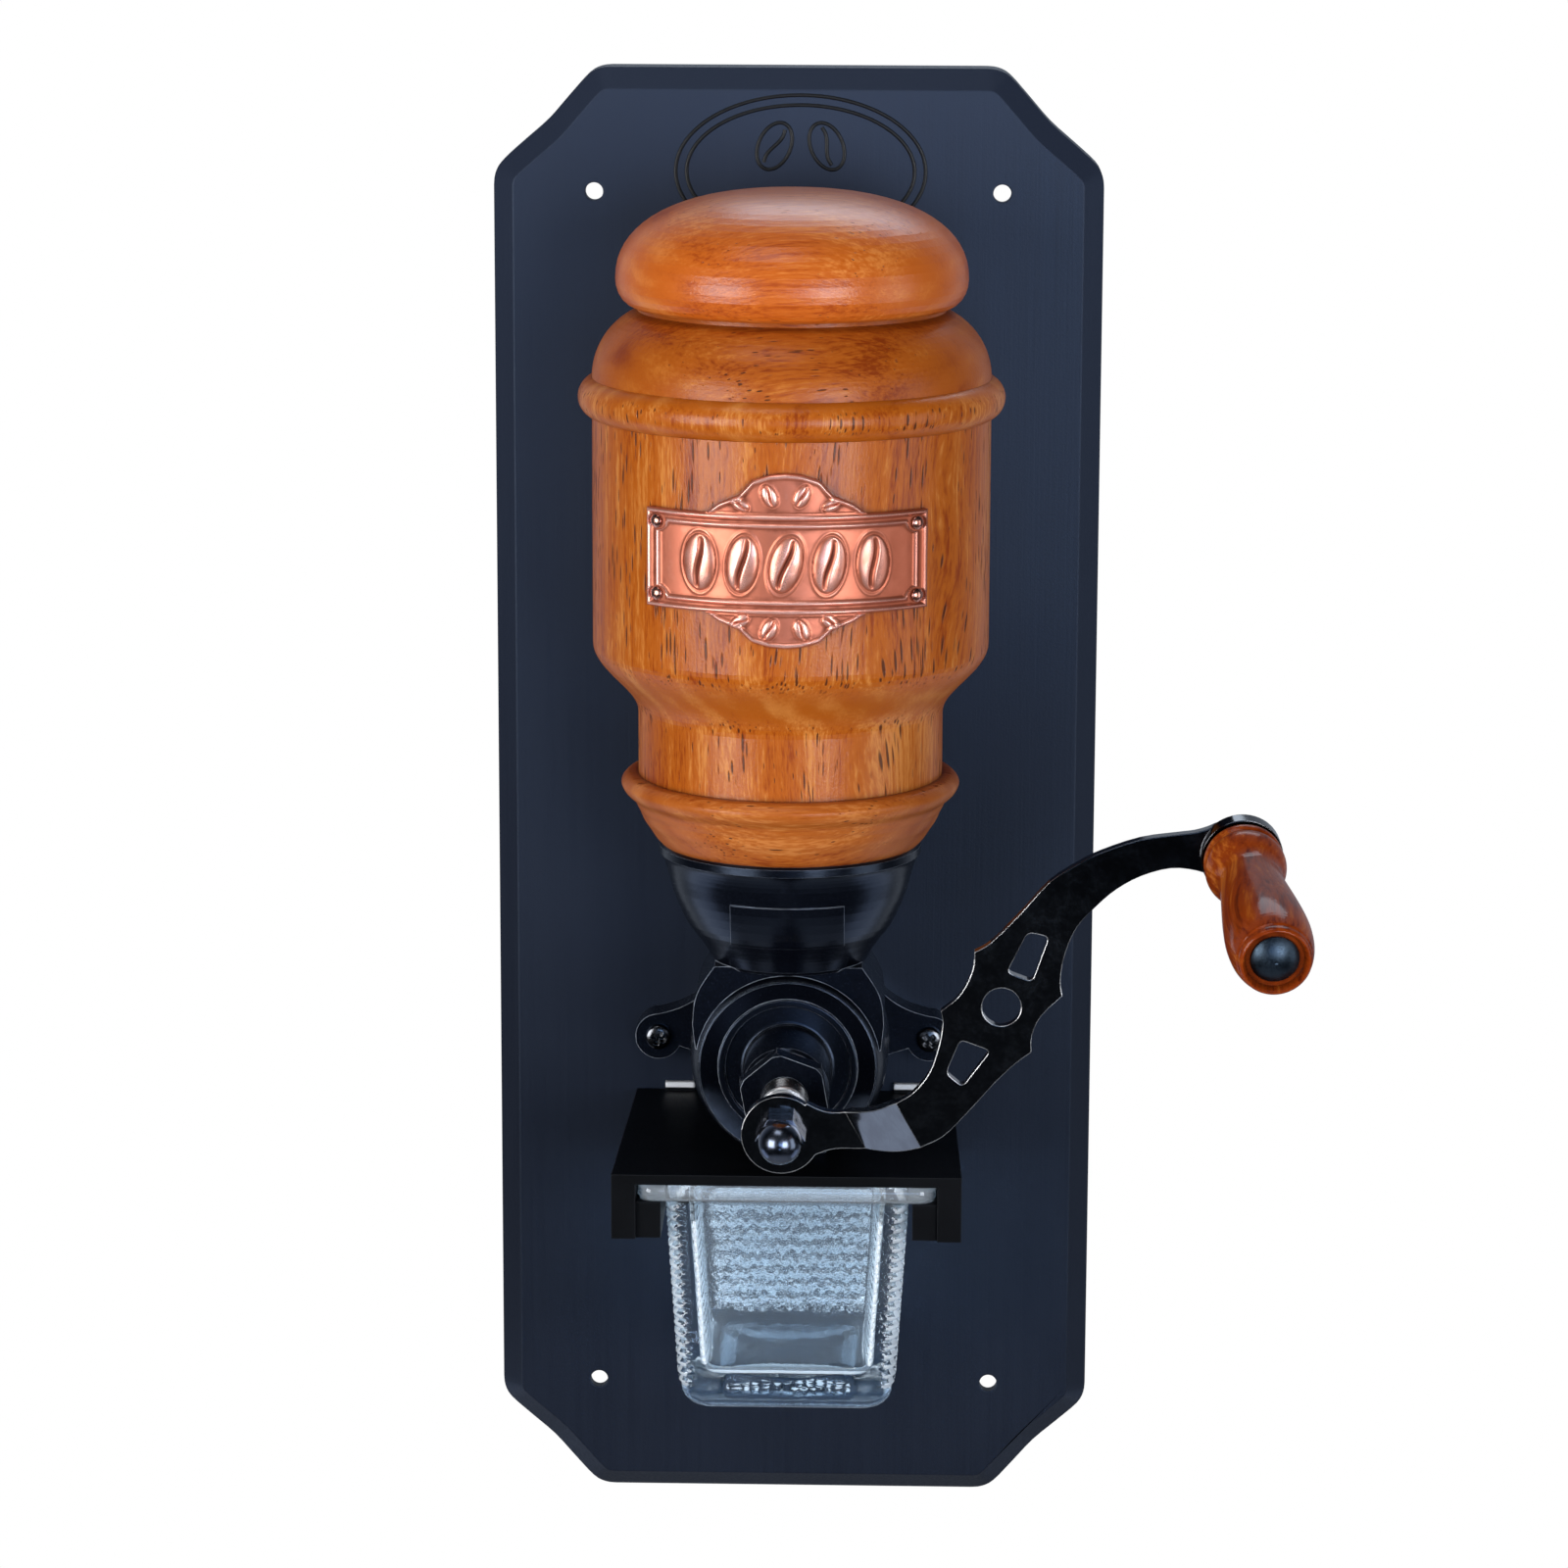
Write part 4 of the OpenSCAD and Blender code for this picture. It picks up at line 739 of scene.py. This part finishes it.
def bean_relief(x, z, cx, cz, wide, high, turn, rise):
    """A coffee bean with its cleft, as a height above the panel."""
    c, k = math.cos(math.radians(turn)), math.sin(math.radians(turn))
    u, v = (x - cx) * c + (z - cz) * k, (z - cz) * c - (x - cx) * k
    out = np.sqrt((u / wide) ** 2 + (v / high) ** 2)
    dome = np.sqrt(np.clip(1 - out**BEAN_DOME, 0, None))
    sway, bend, half, depth = BEAN_CLEFT
    cleft = bell(u, sway * wide * np.sin(bend * v / high), half * wide)
    cleft *= smooth_step(1 - out, *BEAN_CLEFT_END)
    lift, at, thick = BEAN_LINE
    return rise * (dome * (1 - depth * cleft) + lift * bell(out, at, thick))


def local_mean(height, reach):
    """Each height's mean over the square round it."""
    for axis in (0, 1):
        sides = [(reach, reach) if a == axis else (0, 0) for a in (0, 1)]
        padded = np.pad(height, sides, mode="edge")
        size = height.shape[axis]
        count = 2 * reach + 1
        height = sum(np.take(padded, range(k, k + size), axis) for k in range(count)) / count
    return height


def plaque_height(x, z, top, foot):
    """Height of a framed panel with a row of beans, and of a crest with beans above and below it."""
    end = PANEL_HALF - np.abs(z)
    panel = np.minimum(PLAQUE_X - np.abs(x), end)
    at, wide, high = RIM_LINE
    height = SHEET_UP + high * bell(np.clip(panel, 0, None), at, wide) * (panel > -RIM_SPILL)
    at, wide, high = FRAME_LINE
    notch = np.hypot(np.abs(x) - PLAQUE_X, np.abs(z) - PANEL_HALF) - NOTCH_R
    inner = np.minimum(panel - at, notch)
    height += high * bell(inner, 0, wide) * (end > 0)
    height -= FIELD_SUNK * smooth_step(inner, *FIELD_EDGE) * (end > 0)
    wide, high, rise = ROW_BEAN
    for step in range(-2, 3):
        height += bean_relief(x, z, step * ROW_STEP, 0.0, wide, high, ROW_LEAN + ROW_FAN * abs(step), rise)
    for edge, crest_h, up in ((top, CREST_H, 1), (foot, LOWER_CREST_H, -1)):
        slope = np.gradient(edge[:, 0], x[:, 0])[:, None]
        inside = up * (edge - z) / np.sqrt(1 + slope**2)
        crest = smooth_step(up * z - PANEL_HALF, 0.0, CREST_FADE)
        at, wide, high = CREST_LINE
        height += high * crest * bell(inside, at, wide)
        for side in (-1, 1):
            for out, lift, turn, wide in CREST_BEANS:
                cx, cz = side * out, up * (PANEL_HALF + crest_h * lift)
                high, lean = wide * CREST_BEAN_RATIO, -side * up * turn
                height += bean_relief(x, z, cx, cz, wide, high, lean, CREST_BEAN_RISE) * crest
    seat = np.hypot(np.abs(x) - PIN_X, np.abs(z) - PIN_Z)
    return np.where(seat < PIN_SEAT_R, SHEET_UP, height)


def plaque_relief():
    """The embossed plaque, bent round the hopper, with its wear worked out from its relief."""
    across, along = PLAQUE_GRID
    x = np.linspace(-PLAQUE_X, PLAQUE_X, across)[:, None]
    top = PANEL_HALF + crest_edge(x, CREST_H)
    foot = -PANEL_HALF - crest_edge(x, LOWER_CREST_H)
    z = foot + (top - foot) * np.linspace(0, 1, along)[None, :]
    x = np.broadcast_to(x, z.shape)
    height = plaque_height(x, z, top, foot)
    wear = np.clip(0.5 + WEAR_GAIN * (height - local_mean(height, WEAR_REACH)), 0, 1)

    def at(radius, xs, zs):
        angle = np.arcsin(xs / (SHEET_R + SHEET_T))
        return np.stack([radius * np.sin(angle), JAR_Y - radius * np.cos(angle), PLAQUE_Z + zs], -1)

    front = at(SHEET_R + SHEET_T + height, x, z).reshape(-1, 3)
    index = np.arange(across * along).reshape(across, along)
    faces = np.stack([index[:-1, :-1], index[1:, :-1], index[1:, 1:], index[:-1, 1:]], -1)
    faces = faces.reshape(-1, 4).tolist()
    border = np.concatenate([index[:, 0], index[-1, 1:], index[-2::-1, -1], index[0, -2:0:-1]])
    back = at(np.full(len(border), SHEET_R), x.reshape(-1)[border], z.reshape(-1)[border])
    base = across * along
    for i, near in enumerate(border.tolist()):
        k = (i + 1) % len(border)
        faces.append([near, base + i, base + k, int(border[k])])
    mesh = make_mesh("plaque_relief", [(np.concatenate([front, back]), faces)])
    layer = mesh.attributes.new("wear", "FLOAT", "POINT")
    wear = np.concatenate([wear.reshape(-1), np.full(len(border), BACK_WEAR)])
    layer.data.foreach_set("value", wear.astype(np.float32))
    made = show("plaque_relief", mesh, "frame", [COPPER], sharp=60)
    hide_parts("jar_plaque")


# Glass drawer

GLASS_LOW, GLASS_HIGH = box_of("glass_drawer")
GLASS_TOP = GLASS_HIGH[2]
GLASS_FOOT = GLASS_LOW[2]
GLASS_TAPER = 7.5
FLANGE_HALF = GLASS_HIGH[0]
FLANGE_D0 = BOARD_FRONT - GLASS_HIGH[1]
FLANGE_D1 = BOARD_FRONT - GLASS_LOW[1]
FLANGE_T = 4.3
FLANGE_SIDE = 6.85
FLANGE_BACK = 4.0
FLANGE_FRONT = 2.5
GLASS_HALF = FLANGE_HALF - FLANGE_SIDE
GLASS_D0 = FLANGE_D0 + FLANGE_BACK
GLASS_D1 = FLANGE_D1 - FLANGE_FRONT
GLASS_ROUND = 4.5
WALL = 5.0
GLASS_FLOOR = 8.5
FOOT_ROUND = 6.0
FOOT_STEPS = 8
FOOT_NARROWING = 0.3
BEAD = (2.8, 2.5)
BEAD_RISE = 0.8
BEAD_FULLNESS = 0.6
BEAD_TOP = 0.55
WAVE = (3.2, 3.4)
WAVE_SWAY = 0.7
WAVE_TOP = 0.72
FRAME_STEPS = (144, 168, 10)
FRONT_CORNERS = (-1, -4)
RIB_SPAN = (0.1, 0.5)
RIB_BRIGHT = 0.55
WALL_RINGS = 130
WALL_FADE = 1.6
WALL_GAPS = (0.6, 1.2)
INNER_ROUND = 3.2
INNER_RINGS = 12
MOUTH_H = 4
FLOOR_ROUND = 4
FLOOR_CORNER = 3.0
FLOOR_STEPS = 6
FLOOR_LINE = 2

# Rings of the glass: height above or below the foot, the flange's underside, the top or the floor, then the
# distance inwards and, where rings differ in it, the corners' radius
FOOT_RINGS = ((1.4, 24.0, 1.0), (1.4, 10.5, 2.0), (0.3, 8.8, 3.0), (0.0, 8.0, 3.4))
FILLET = ((0.3, 0.0), (0.0, -0.6))
LIP = ((0, 1.5), (0.25, 0.55), (1.1, 0.06), (2.15, 0), (3.2, 0.06), (4.05, 0.55), (FLANGE_T, 1.5))
LIP_ROUND = 4.2
MOUTH_RINGS = ((0, WALL - 1.0, 3.6), (0.3, WALL - 0.3, 3.4), (1.0, WALL, INNER_ROUND))
FLOOR_MIDDLE = (0.2, 20.0, 1.5)


def rounded_frame(half, d0, d1, radius):
    """A rounded rectangle from above: its places, outward directions, distances along each side, and sides.

    Side 0 is the front, and -1 is the corner that follows it.
    """
    wide, deep, corner = FRAME_STEPS
    places, outward, along, sides = [], [], [], []
    for number in range(4):
        angle = number * math.pi / 2
        out = np.array([-math.sin(angle), math.cos(angle)])
        run = np.array([-math.cos(angle), -math.sin(angle)])
        reach, straight, count = half, (d1 - d0) / 2 - radius, deep
        if number % 2 == 0:
            reach, straight, count = (d1 - d0) / 2, half - radius, wide
        t = np.linspace(-straight, straight, count)
        places.append(out * reach + run * t[:, None])
        outward.append(np.repeat(out[None], count, 0))
        a = np.linspace(0, math.pi / 2, corner + 2)[1:-1, None]
        way = out * np.cos(a) + run * np.sin(a)
        places.append(out * (reach - radius) + run * straight + way * radius)
        outward.append(way)
        along.append(np.concatenate([t, a[:, 0] / (math.pi / 2)]))
        sides.append(np.concatenate([np.full(count, number), np.full(corner, -1 - number)]))
    return np.concatenate(places) + (0, (d0 + d1) / 2), *map(np.concatenate, (outward, along, sides))


def beads_at(along, up):
    """Height from 0 to 1 of close rows of beads, with every other row shifted by half a bead."""
    pitch, row = BEAD
    level = round(up / row)
    across = (along + pitch / 2 * (1 - level % 2)) % pitch - pitch / 2
    out = (2 * across / pitch) ** 2 + (2 * (up - level * row) / row) ** 2
    return np.clip(1 - out, 0, None) ** BEAD_FULLNESS


def waves_at(along, up):
    """Height from 0 to 1 of wavy ridges, one above the other."""
    pitch, row = WAVE
    return np.cos(math.pi * (up + WAVE_SWAY * np.sin(2 * math.pi * along / pitch)) / row) ** 2


def pressed_pattern(sides, along, up, wide, deep):
    """Rise from 0 to 1 of the beads, waves and corner ribs on a ring of the wall, and where it is satin: the
    bead tops, wave crests and outer rib edges, whose milky glass is partly a satin skin and partly a painted
    glint.

    The ring's straight stretches reach wide from the middle in front and behind, and deep at the sides.
    """
    rise = np.zeros(len(sides))
    for faces, straight, pattern in (((1, 3), deep, beads_at), ((2,), wide, waves_at)):
        inner = smooth_step(straight - np.abs(along), 0.0, 1.0)
        rise = np.where(np.isin(sides, faces), pattern(along, up) * inner, rise)
    corner = np.isin(sides, FRONT_CORNERS)
    round_it = np.where(sides == FRONT_CORNERS[1], 1 - along, along)
    rib = math.cos(math.pi * up / BEAD[1]) ** 2 * smooth_step(round_it, *RIB_SPAN)
    rise = np.where(corner, rib, rise)
    # Satin on the bead tops, wave crests and outer rib edges is partly a painted glint.
    satin = (rise > np.where(sides == 2, WAVE_TOP, BEAD_TOP)) | (corner & (round_it > RIB_BRIGHT))
    return rise, satin


def glass_drawer():
    """The pressed glass drawer: smooth front, beaded sides and back, rounded flange and thick foot."""
    rings, kinds = [], []

    def ring(kind, z, less, radius, flange=False, beads=0.0, bright=False):
        if flange:
            half, d0, d1 = FLANGE_HALF - less, FLANGE_D0 + less, FLANGE_D1 - less
        else:
            less += GLASS_TAPER / 2 * (GLASS_TOP - z) / (GLASS_TOP - GLASS_FOOT)
            half, d0, d1 = GLASS_HALF - less, GLASS_D0 + less, GLASS_D1 - less
        places, outward, along, sides = rounded_frame(half, d0, d1, radius)
        # Where bright is set, the ring's front and front corners take the beaded satin glass as a painted
        # highlight line.
        satin = np.isin(sides, (0, *FRONT_CORNERS)) & bright
        if beads:
            wide, deep = half - radius, (d1 - d0) / 2 - radius
            rise, satin = pressed_pattern(sides, along, z - GLASS_FOOT, wide, deep)
            places = places + outward * (beads * rise)[:, None]
        rings.append(np.stack([places[:, 0], BOARD_FRONT - places[:, 1], np.full(len(places), z)], -1))
        kinds.append(np.where((kind == BEADED_FACE) & ~satin, CLEAR_FACE, kind))

    foot, under = GLASS_FOOT, GLASS_TOP - FLANGE_T
    for z, less, radius in FOOT_RINGS:
        ring(CLEAR_FACE, foot + z, less, radius)
    for angle in np.linspace(0, math.pi / 2, FOOT_STEPS):
        z, less = foot + FOOT_ROUND * (1 - math.cos(angle)), FOOT_ROUND * (1 - math.sin(angle))
        ring(FLOOR_FACE, z, less, GLASS_ROUND - less * FOOT_NARROWING)
    low, high = foot + FOOT_ROUND + WALL_GAPS[0], under - WALL_GAPS[1]
    for z in np.linspace(low, high, WALL_RINGS):
        edge = smooth_step(min(z - low, high - z), 0.0, WALL_FADE)
        ring(BEADED_FACE, z, 0.0, GLASS_ROUND, beads=BEAD_RISE * edge)
    for down, less in FILLET:
        ring(CLEAR_FACE, under - down, less, GLASS_ROUND)
    for up, less in LIP:
        ring(FLANGE_FACE, under + up, less, LIP_ROUND - less, flange=True)
    for down, less, radius in MOUTH_RINGS:
        ring(FLANGE_FACE, GLASS_TOP - down, less, radius)
    floor = foot + GLASS_FLOOR
    for z in np.linspace(GLASS_TOP - MOUTH_H, floor + FLOOR_ROUND, INNER_RINGS):
        ring(INNER_FACE, z, WALL, INNER_ROUND)
    # The FLOOR_LINE step is satin at the front: a painted highlight line along the inner floor's edge.
    for step, angle in enumerate(np.linspace(0, math.pi / 2, FLOOR_STEPS)[1:]):
        line = step == FLOOR_LINE
        z = floor + FLOOR_ROUND * (1 - math.sin(angle))
        less = WALL + FLOOR_ROUND * (1 - math.cos(angle))
        ring(BEADED_FACE if line else INNER_FACE, z, less, FLOOR_CORNER, bright=line)
    down, less, radius = FLOOR_MIDDLE
    ring(FLOOR_FACE, floor - down, less, radius)
    points, faces = skin(rings)
    mesh = make_mesh("pressed_drawer", [(points, faces)])
    made = show("pressed_drawer", mesh, "drawer", GLASS_FINISHES, sharp=80)
    finish = np.concatenate([np.concatenate(kinds[1:]), [CLEAR_FACE, FLOOR_FACE]])
    order = {tuple(sorted(face)): kind for face, kind in zip(faces, finish.tolist())}
    chosen = [order[tuple(sorted(polygon.vertices))] for polygon in mesh.polygons]
    mesh.polygons.foreach_set("material_index", np.array(chosen, np.int32))
    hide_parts("glass_drawer")


# Stage, in metres

FLOOR_Z = -1.7
FLOOR_R = 2.0
ROOM_FRONT = (0.016, 0.019, 0.024)
ROOM_BACK = (0.18, 0.235, 0.32)
BACK_SPAN = (0.1, 0.9)
MIRROR_SHARE = 0.22


def make_camera():
    """The photograph's camera."""
    yaw, pitch, roll = (math.radians(a) for a in (CAMERA_YAW, CAMERA_PITCH, CAMERA_ROLL))
    ahead = Vector((math.sin(yaw) * math.cos(pitch), math.cos(yaw) * math.cos(pitch), -math.sin(pitch)))
    right = Vector((math.cos(yaw), -math.sin(yaw), 0))
    up = right.cross(ahead)
    across = right * math.cos(roll) + up * math.sin(roll)
    upright = up * math.cos(roll) - right * math.sin(roll)
    data = bpy.data.cameras.new("camera")
    data.sensor_fit = "HORIZONTAL"
    data.sensor_width = SENSOR_WIDTH
    data.lens = FOCAL_PX / PHOTO_PX * SENSOR_WIDTH
    data.clip_start = NEAR_CLIP * MM
    camera = bpy.data.objects.new("camera", data)
    turn = Matrix((across, upright, -ahead)).transposed().to_4x4()
    camera.matrix_world = Matrix.Translation(Vector(CAMERA_AT) * MM) @ turn
    bpy.context.scene.collection.objects.link(camera)
    bpy.context.scene.camera = camera


def softbox(name, at, aim, size, radiance, colour=(1, 1, 1)):
    """A flat lamp. Radiance is how bright its face is, where 1 is white."""
    data = bpy.data.lights.new(name, "AREA")
    data.shape = "RECTANGLE"
    data.size, data.size_y = size
    data.energy = radiance * math.pi * size[0] * size[1]
    data.color = colour
    lamp = bpy.data.objects.new(name, data)
    lamp.location = at
    lamp.rotation_euler = (Vector(aim) - Vector(at)).to_track_quat("-Z", "Y").to_euler()
    bpy.context.scene.collection.objects.link(lamp)


def make_world():
    """A pale studio behind the mill and a dim room in front of it. Camera and glass see plain white."""
    world = bpy.data.worlds.new("studio")
    bpy.context.scene.world = world
    world.use_nodes = True
    world.node_tree.nodes.clear()
    n = Nodes(world.node_tree)
    behind = n.span(n.parts(n.add("TexCoord").outputs["Generated"])[1], *BACK_SPAN)
    ray = n.add("LightPath").outputs
    seen = n.math("MULTIPLY", n.math("MULTIPLY", ray["Is Glossy Ray"], behind), MIRROR_SHARE)
    for kind in ("Is Camera Ray", "Is Transmission Ray"):
        seen = n.math("MAXIMUM", seen, ray[kind])
    room = n.add("Background", {"Color": n.blend(behind, ROOM_FRONT, ROOM_BACK)}).outputs[0]
    white = n.add("Background", {"Color": (1, 1, 1, 1)}).outputs[0]
    n.add("OutputWorld", {"Surface": n.add("MixShader", {0: seen, 1: room, 2: white}).outputs[0]})


def make_floor():
    """A round floor far below the mill, which hangs on a wall."""
    mesh = bpy.data.meshes.new("floor")
    disc = bmesh.new()
    bmesh.ops.create_circle(disc, cap_ends=True, radius=FLOOR_R, segments=96)
    disc.to_mesh(mesh)
    disc.free()
    mesh.materials.append(floor_white())
    floor = bpy.data.objects.new("floor", mesh)
    floor.location = (0, 0, FLOOR_Z)
    bpy.context.scene.collection.objects.link(floor)


def make_lights():
    """Two big lamps in front, a fill, a card above, a lamp behind, and cool cards for paint to mirror."""
    softbox("left_box", (-1.0, -1.12, 0.1), (0, -0.06, 0.02), (0.8, 0.8), 8.8)
    softbox("right_box", (0.68, -1.38, 0.08), (0, -0.06, 0.02), (0.6, 0.7), 8.8, (0.95, 0.97, 1.0))
    softbox("right_fill", (1.1, -0.45, 0.0), (0, -0.08, 0), (0.5, 0.9), 2.0, (0.9, 0.95, 1.0))
    softbox("top_card", (-0.2, -0.5, 1.15), (0, -0.08, 0.05), (0.6, 0.4), 3.0, (0.96, 0.98, 1.0))
    softbox("back_box", (0.2, 0.85, 1.05), (0, -0.06, 0.1), (0.9, 0.5), 3.4, (0.80, 0.90, 1.0))
    softbox("sky_card", (0.3, -1.5, 0.1), (0, 0, 0.1), (0.7, 0.4), 3.4, (0.42, 0.64, 1.0))
    softbox("low_left", (-0.75, 0.12, -0.7), (0, -0.1, -0.05), (0.5, 0.5), 1.1, (0.64, 0.76, 1.0))
    softbox("low_right", (0.75, 0.12, -0.7), (0, -0.1, -0.05), (0.5, 0.5), 0.9, (0.64, 0.76, 1.0))


# Materials

QUARTER = math.pi / 2
ALONG_X = (0, QUARTER, 0)
UPRIGHT = (0, 0, 0)
KNOB_TURN = (math.radians(-101.6), 0, math.radians(-4.7))

BODY_WOOD = wood(
    "body_wood", UPRIGHT, ((0.27, 0.038, 0.001), (0.45, 0.102, 0.005), (0.63, 0.218, 0.040)),
    (0.062, 0.011, 0.001), 0.30)
SHOULDER_WOOD = wood(
    "shoulder_wood", ALONG_X, ((0.24, 0.035, 0.002), (0.40, 0.088, 0.006), (0.54, 0.165, 0.022)),
    (0.06, 0.011, 0.002), 0.20, pore_share=0.55, shift=(11, 5, 40), crevice_shade=0.5)
LID_WOOD = wood(
    "lid_wood", ALONG_X, ((0.40, 0.062, 0.004), (0.58, 0.122, 0.010), (0.74, 0.225, 0.040)),
    (0.14, 0.026, 0.004), 0.6, pore_share=0.4, shift=(70, 20, 0), coat_rough=0.24, crevice_shade=0.3)
BASE_WOOD = wood(
    "base_wood", ALONG_X, ((0.27, 0.043, 0.003), (0.44, 0.108, 0.013), (0.60, 0.20, 0.045)),
    (0.05, 0.010, 0.002), 0.20, pore_share=0.6, shift=(-30, 14, 25))
KNOB_WOOD = wood(
    "knob_wood", KNOB_TURN, ((0.085, 0.007, 0.001), (0.24, 0.034, 0.003), (0.48, 0.125, 0.015)),
    (0.02, 0.004, 0.001), 0.38, ring=3.4, pore_size=(2.2, 0.16), pore_share=0.15, shine=0.04,
    coat_rough=0.11, figure=0.35)
BOARD = board_paint()
MOTIF = motif_paint()
IRON = cast_iron("cast_iron", (0.60, 0.66, 0.76), 0.24)
NUT_IRON = cast_iron("nut_iron", (0.66, 0.71, 0.78), 0.24)
SHEET = black_sheet()
BLACK_NICKEL = metal(
    "black_nickel", (0.18, 0.185, 0.195), (0.15, 0.15, 0.16), 0.10, (0.1, 0.4, 0.1), 0.008,
    edge=(0.92, 0.92, 0.93), edge_radius=0.38, edge_end=90)
DOME_STEEL = metal("dome_steel", (0.13, 0.15, 0.20), (0.09, 0.105, 0.145), 0.2, (0.2, 0.2, 0.2), 0.01)
RIVET_STEEL = metal("rivet_steel", (0.046, 0.066, 0.090), (0.032, 0.047, 0.066), 0.42)
BLACK_OXIDE = metal("black_oxide", (0.022, 0.025, 0.031), (0.012, 0.013, 0.017), 0.34)
SCREW_STEEL = metal("screw_steel", (0.15, 0.155, 0.17), (0.07, 0.073, 0.08), 0.2)
DARK_STEEL = metal("dark_steel", (0.24, 0.245, 0.25), (0.12, 0.12, 0.13), 0.24)
STEEL = metal("steel", (0.70, 0.71, 0.73), (0.5, 0.5, 0.51), 0.2, (1.0, 0.1, 1.0))
BARE_STEEL = metal(
    "bare_steel", (0.86, 0.87, 0.89), (0.7, 0.71, 0.73), 0.4, edge=(0.85, 0.86, 0.88), edge_radius=0.8)
BRONZE = metal("bronze", (0.66, 0.46, 0.20), (0.42, 0.27, 0.11), 0.3)
COPPER = copper_plaque()
PIN_COPPER = metal("pin_copper", (0.92, 0.52, 0.42), (0.55, 0.2, 0.14), 0.26)

GLASS_FINISHES = [
    clear_glass(),
    satin_glass("beaded_glass", (0.80, 0.87, 0.93), (0.92, 0.95, 0.98), 0.48, 0.04),
    satin_glass("inner_glass", (0.80, 0.89, 0.96), (0.92, 0.96, 0.99), 0.99, 0.02),
    satin_glass("floor_glass", (0.30, 0.47, 0.68), (0.40, 0.57, 0.78), 0.975, 0.05),
    satin_glass("flange_glass", (0.80, 0.88, 0.95), (0.92, 0.96, 0.99), 0.84, 0.03)]
CLEAR_FACE, BEADED_FACE, INNER_FACE, FLOOR_FACE, FLANGE_FACE = range(len(GLASS_FINISHES))

FINISHES = {
    BOARD: ("backboard",),
    IRON: ("mill_body",),
    NUT_IRON: ("adjusting_nut",),
    SHEET: ("drawer_housing", "rail_left", "rail_right"),
    BLACK_NICKEL: ("crank_arm",),
    DOME_STEEL: ("cap_nut",),
    BODY_WOOD: ("jar_body",),
    SHOULDER_WOOD: ("jar_shoulder",),
    LID_WOOD: ("jar_lid",),
    BASE_WOOD: ("jar_base",),
    KNOB_WOOD: ("knob_grip",),
    PIN_COPPER: ("plaque_pins",),
    RIVET_STEEL: ("knob_spindle",),
    BLACK_OXIDE: ("knob_washer",),
    STEEL: ("rear_plate", "rear_plate_screws", "housing_screws", "jar_screws"),
    DARK_STEEL: ("outer_burr", "inner_burr", "disc_spring", "spring_seat", "burr_pin", "feed_worm"),
    BRONZE: ("rear_bush", "front_bush", "thrust_washer"),
}


def dress_solids():
    """Gives each solid its material."""
    for material, nodes in FINISHES.items():
        for node in nodes:
            NODES[node].data.materials.clear()
            NODES[node].data.materials.append(material)


make_camera()
make_world()
make_floor()
make_lights()
dress_solids()
board_motif()
threaded_shaft()
ear_screws()
plaque_relief()
glass_drawer()

bpy.context.scene.view_settings.view_transform = "Standard"
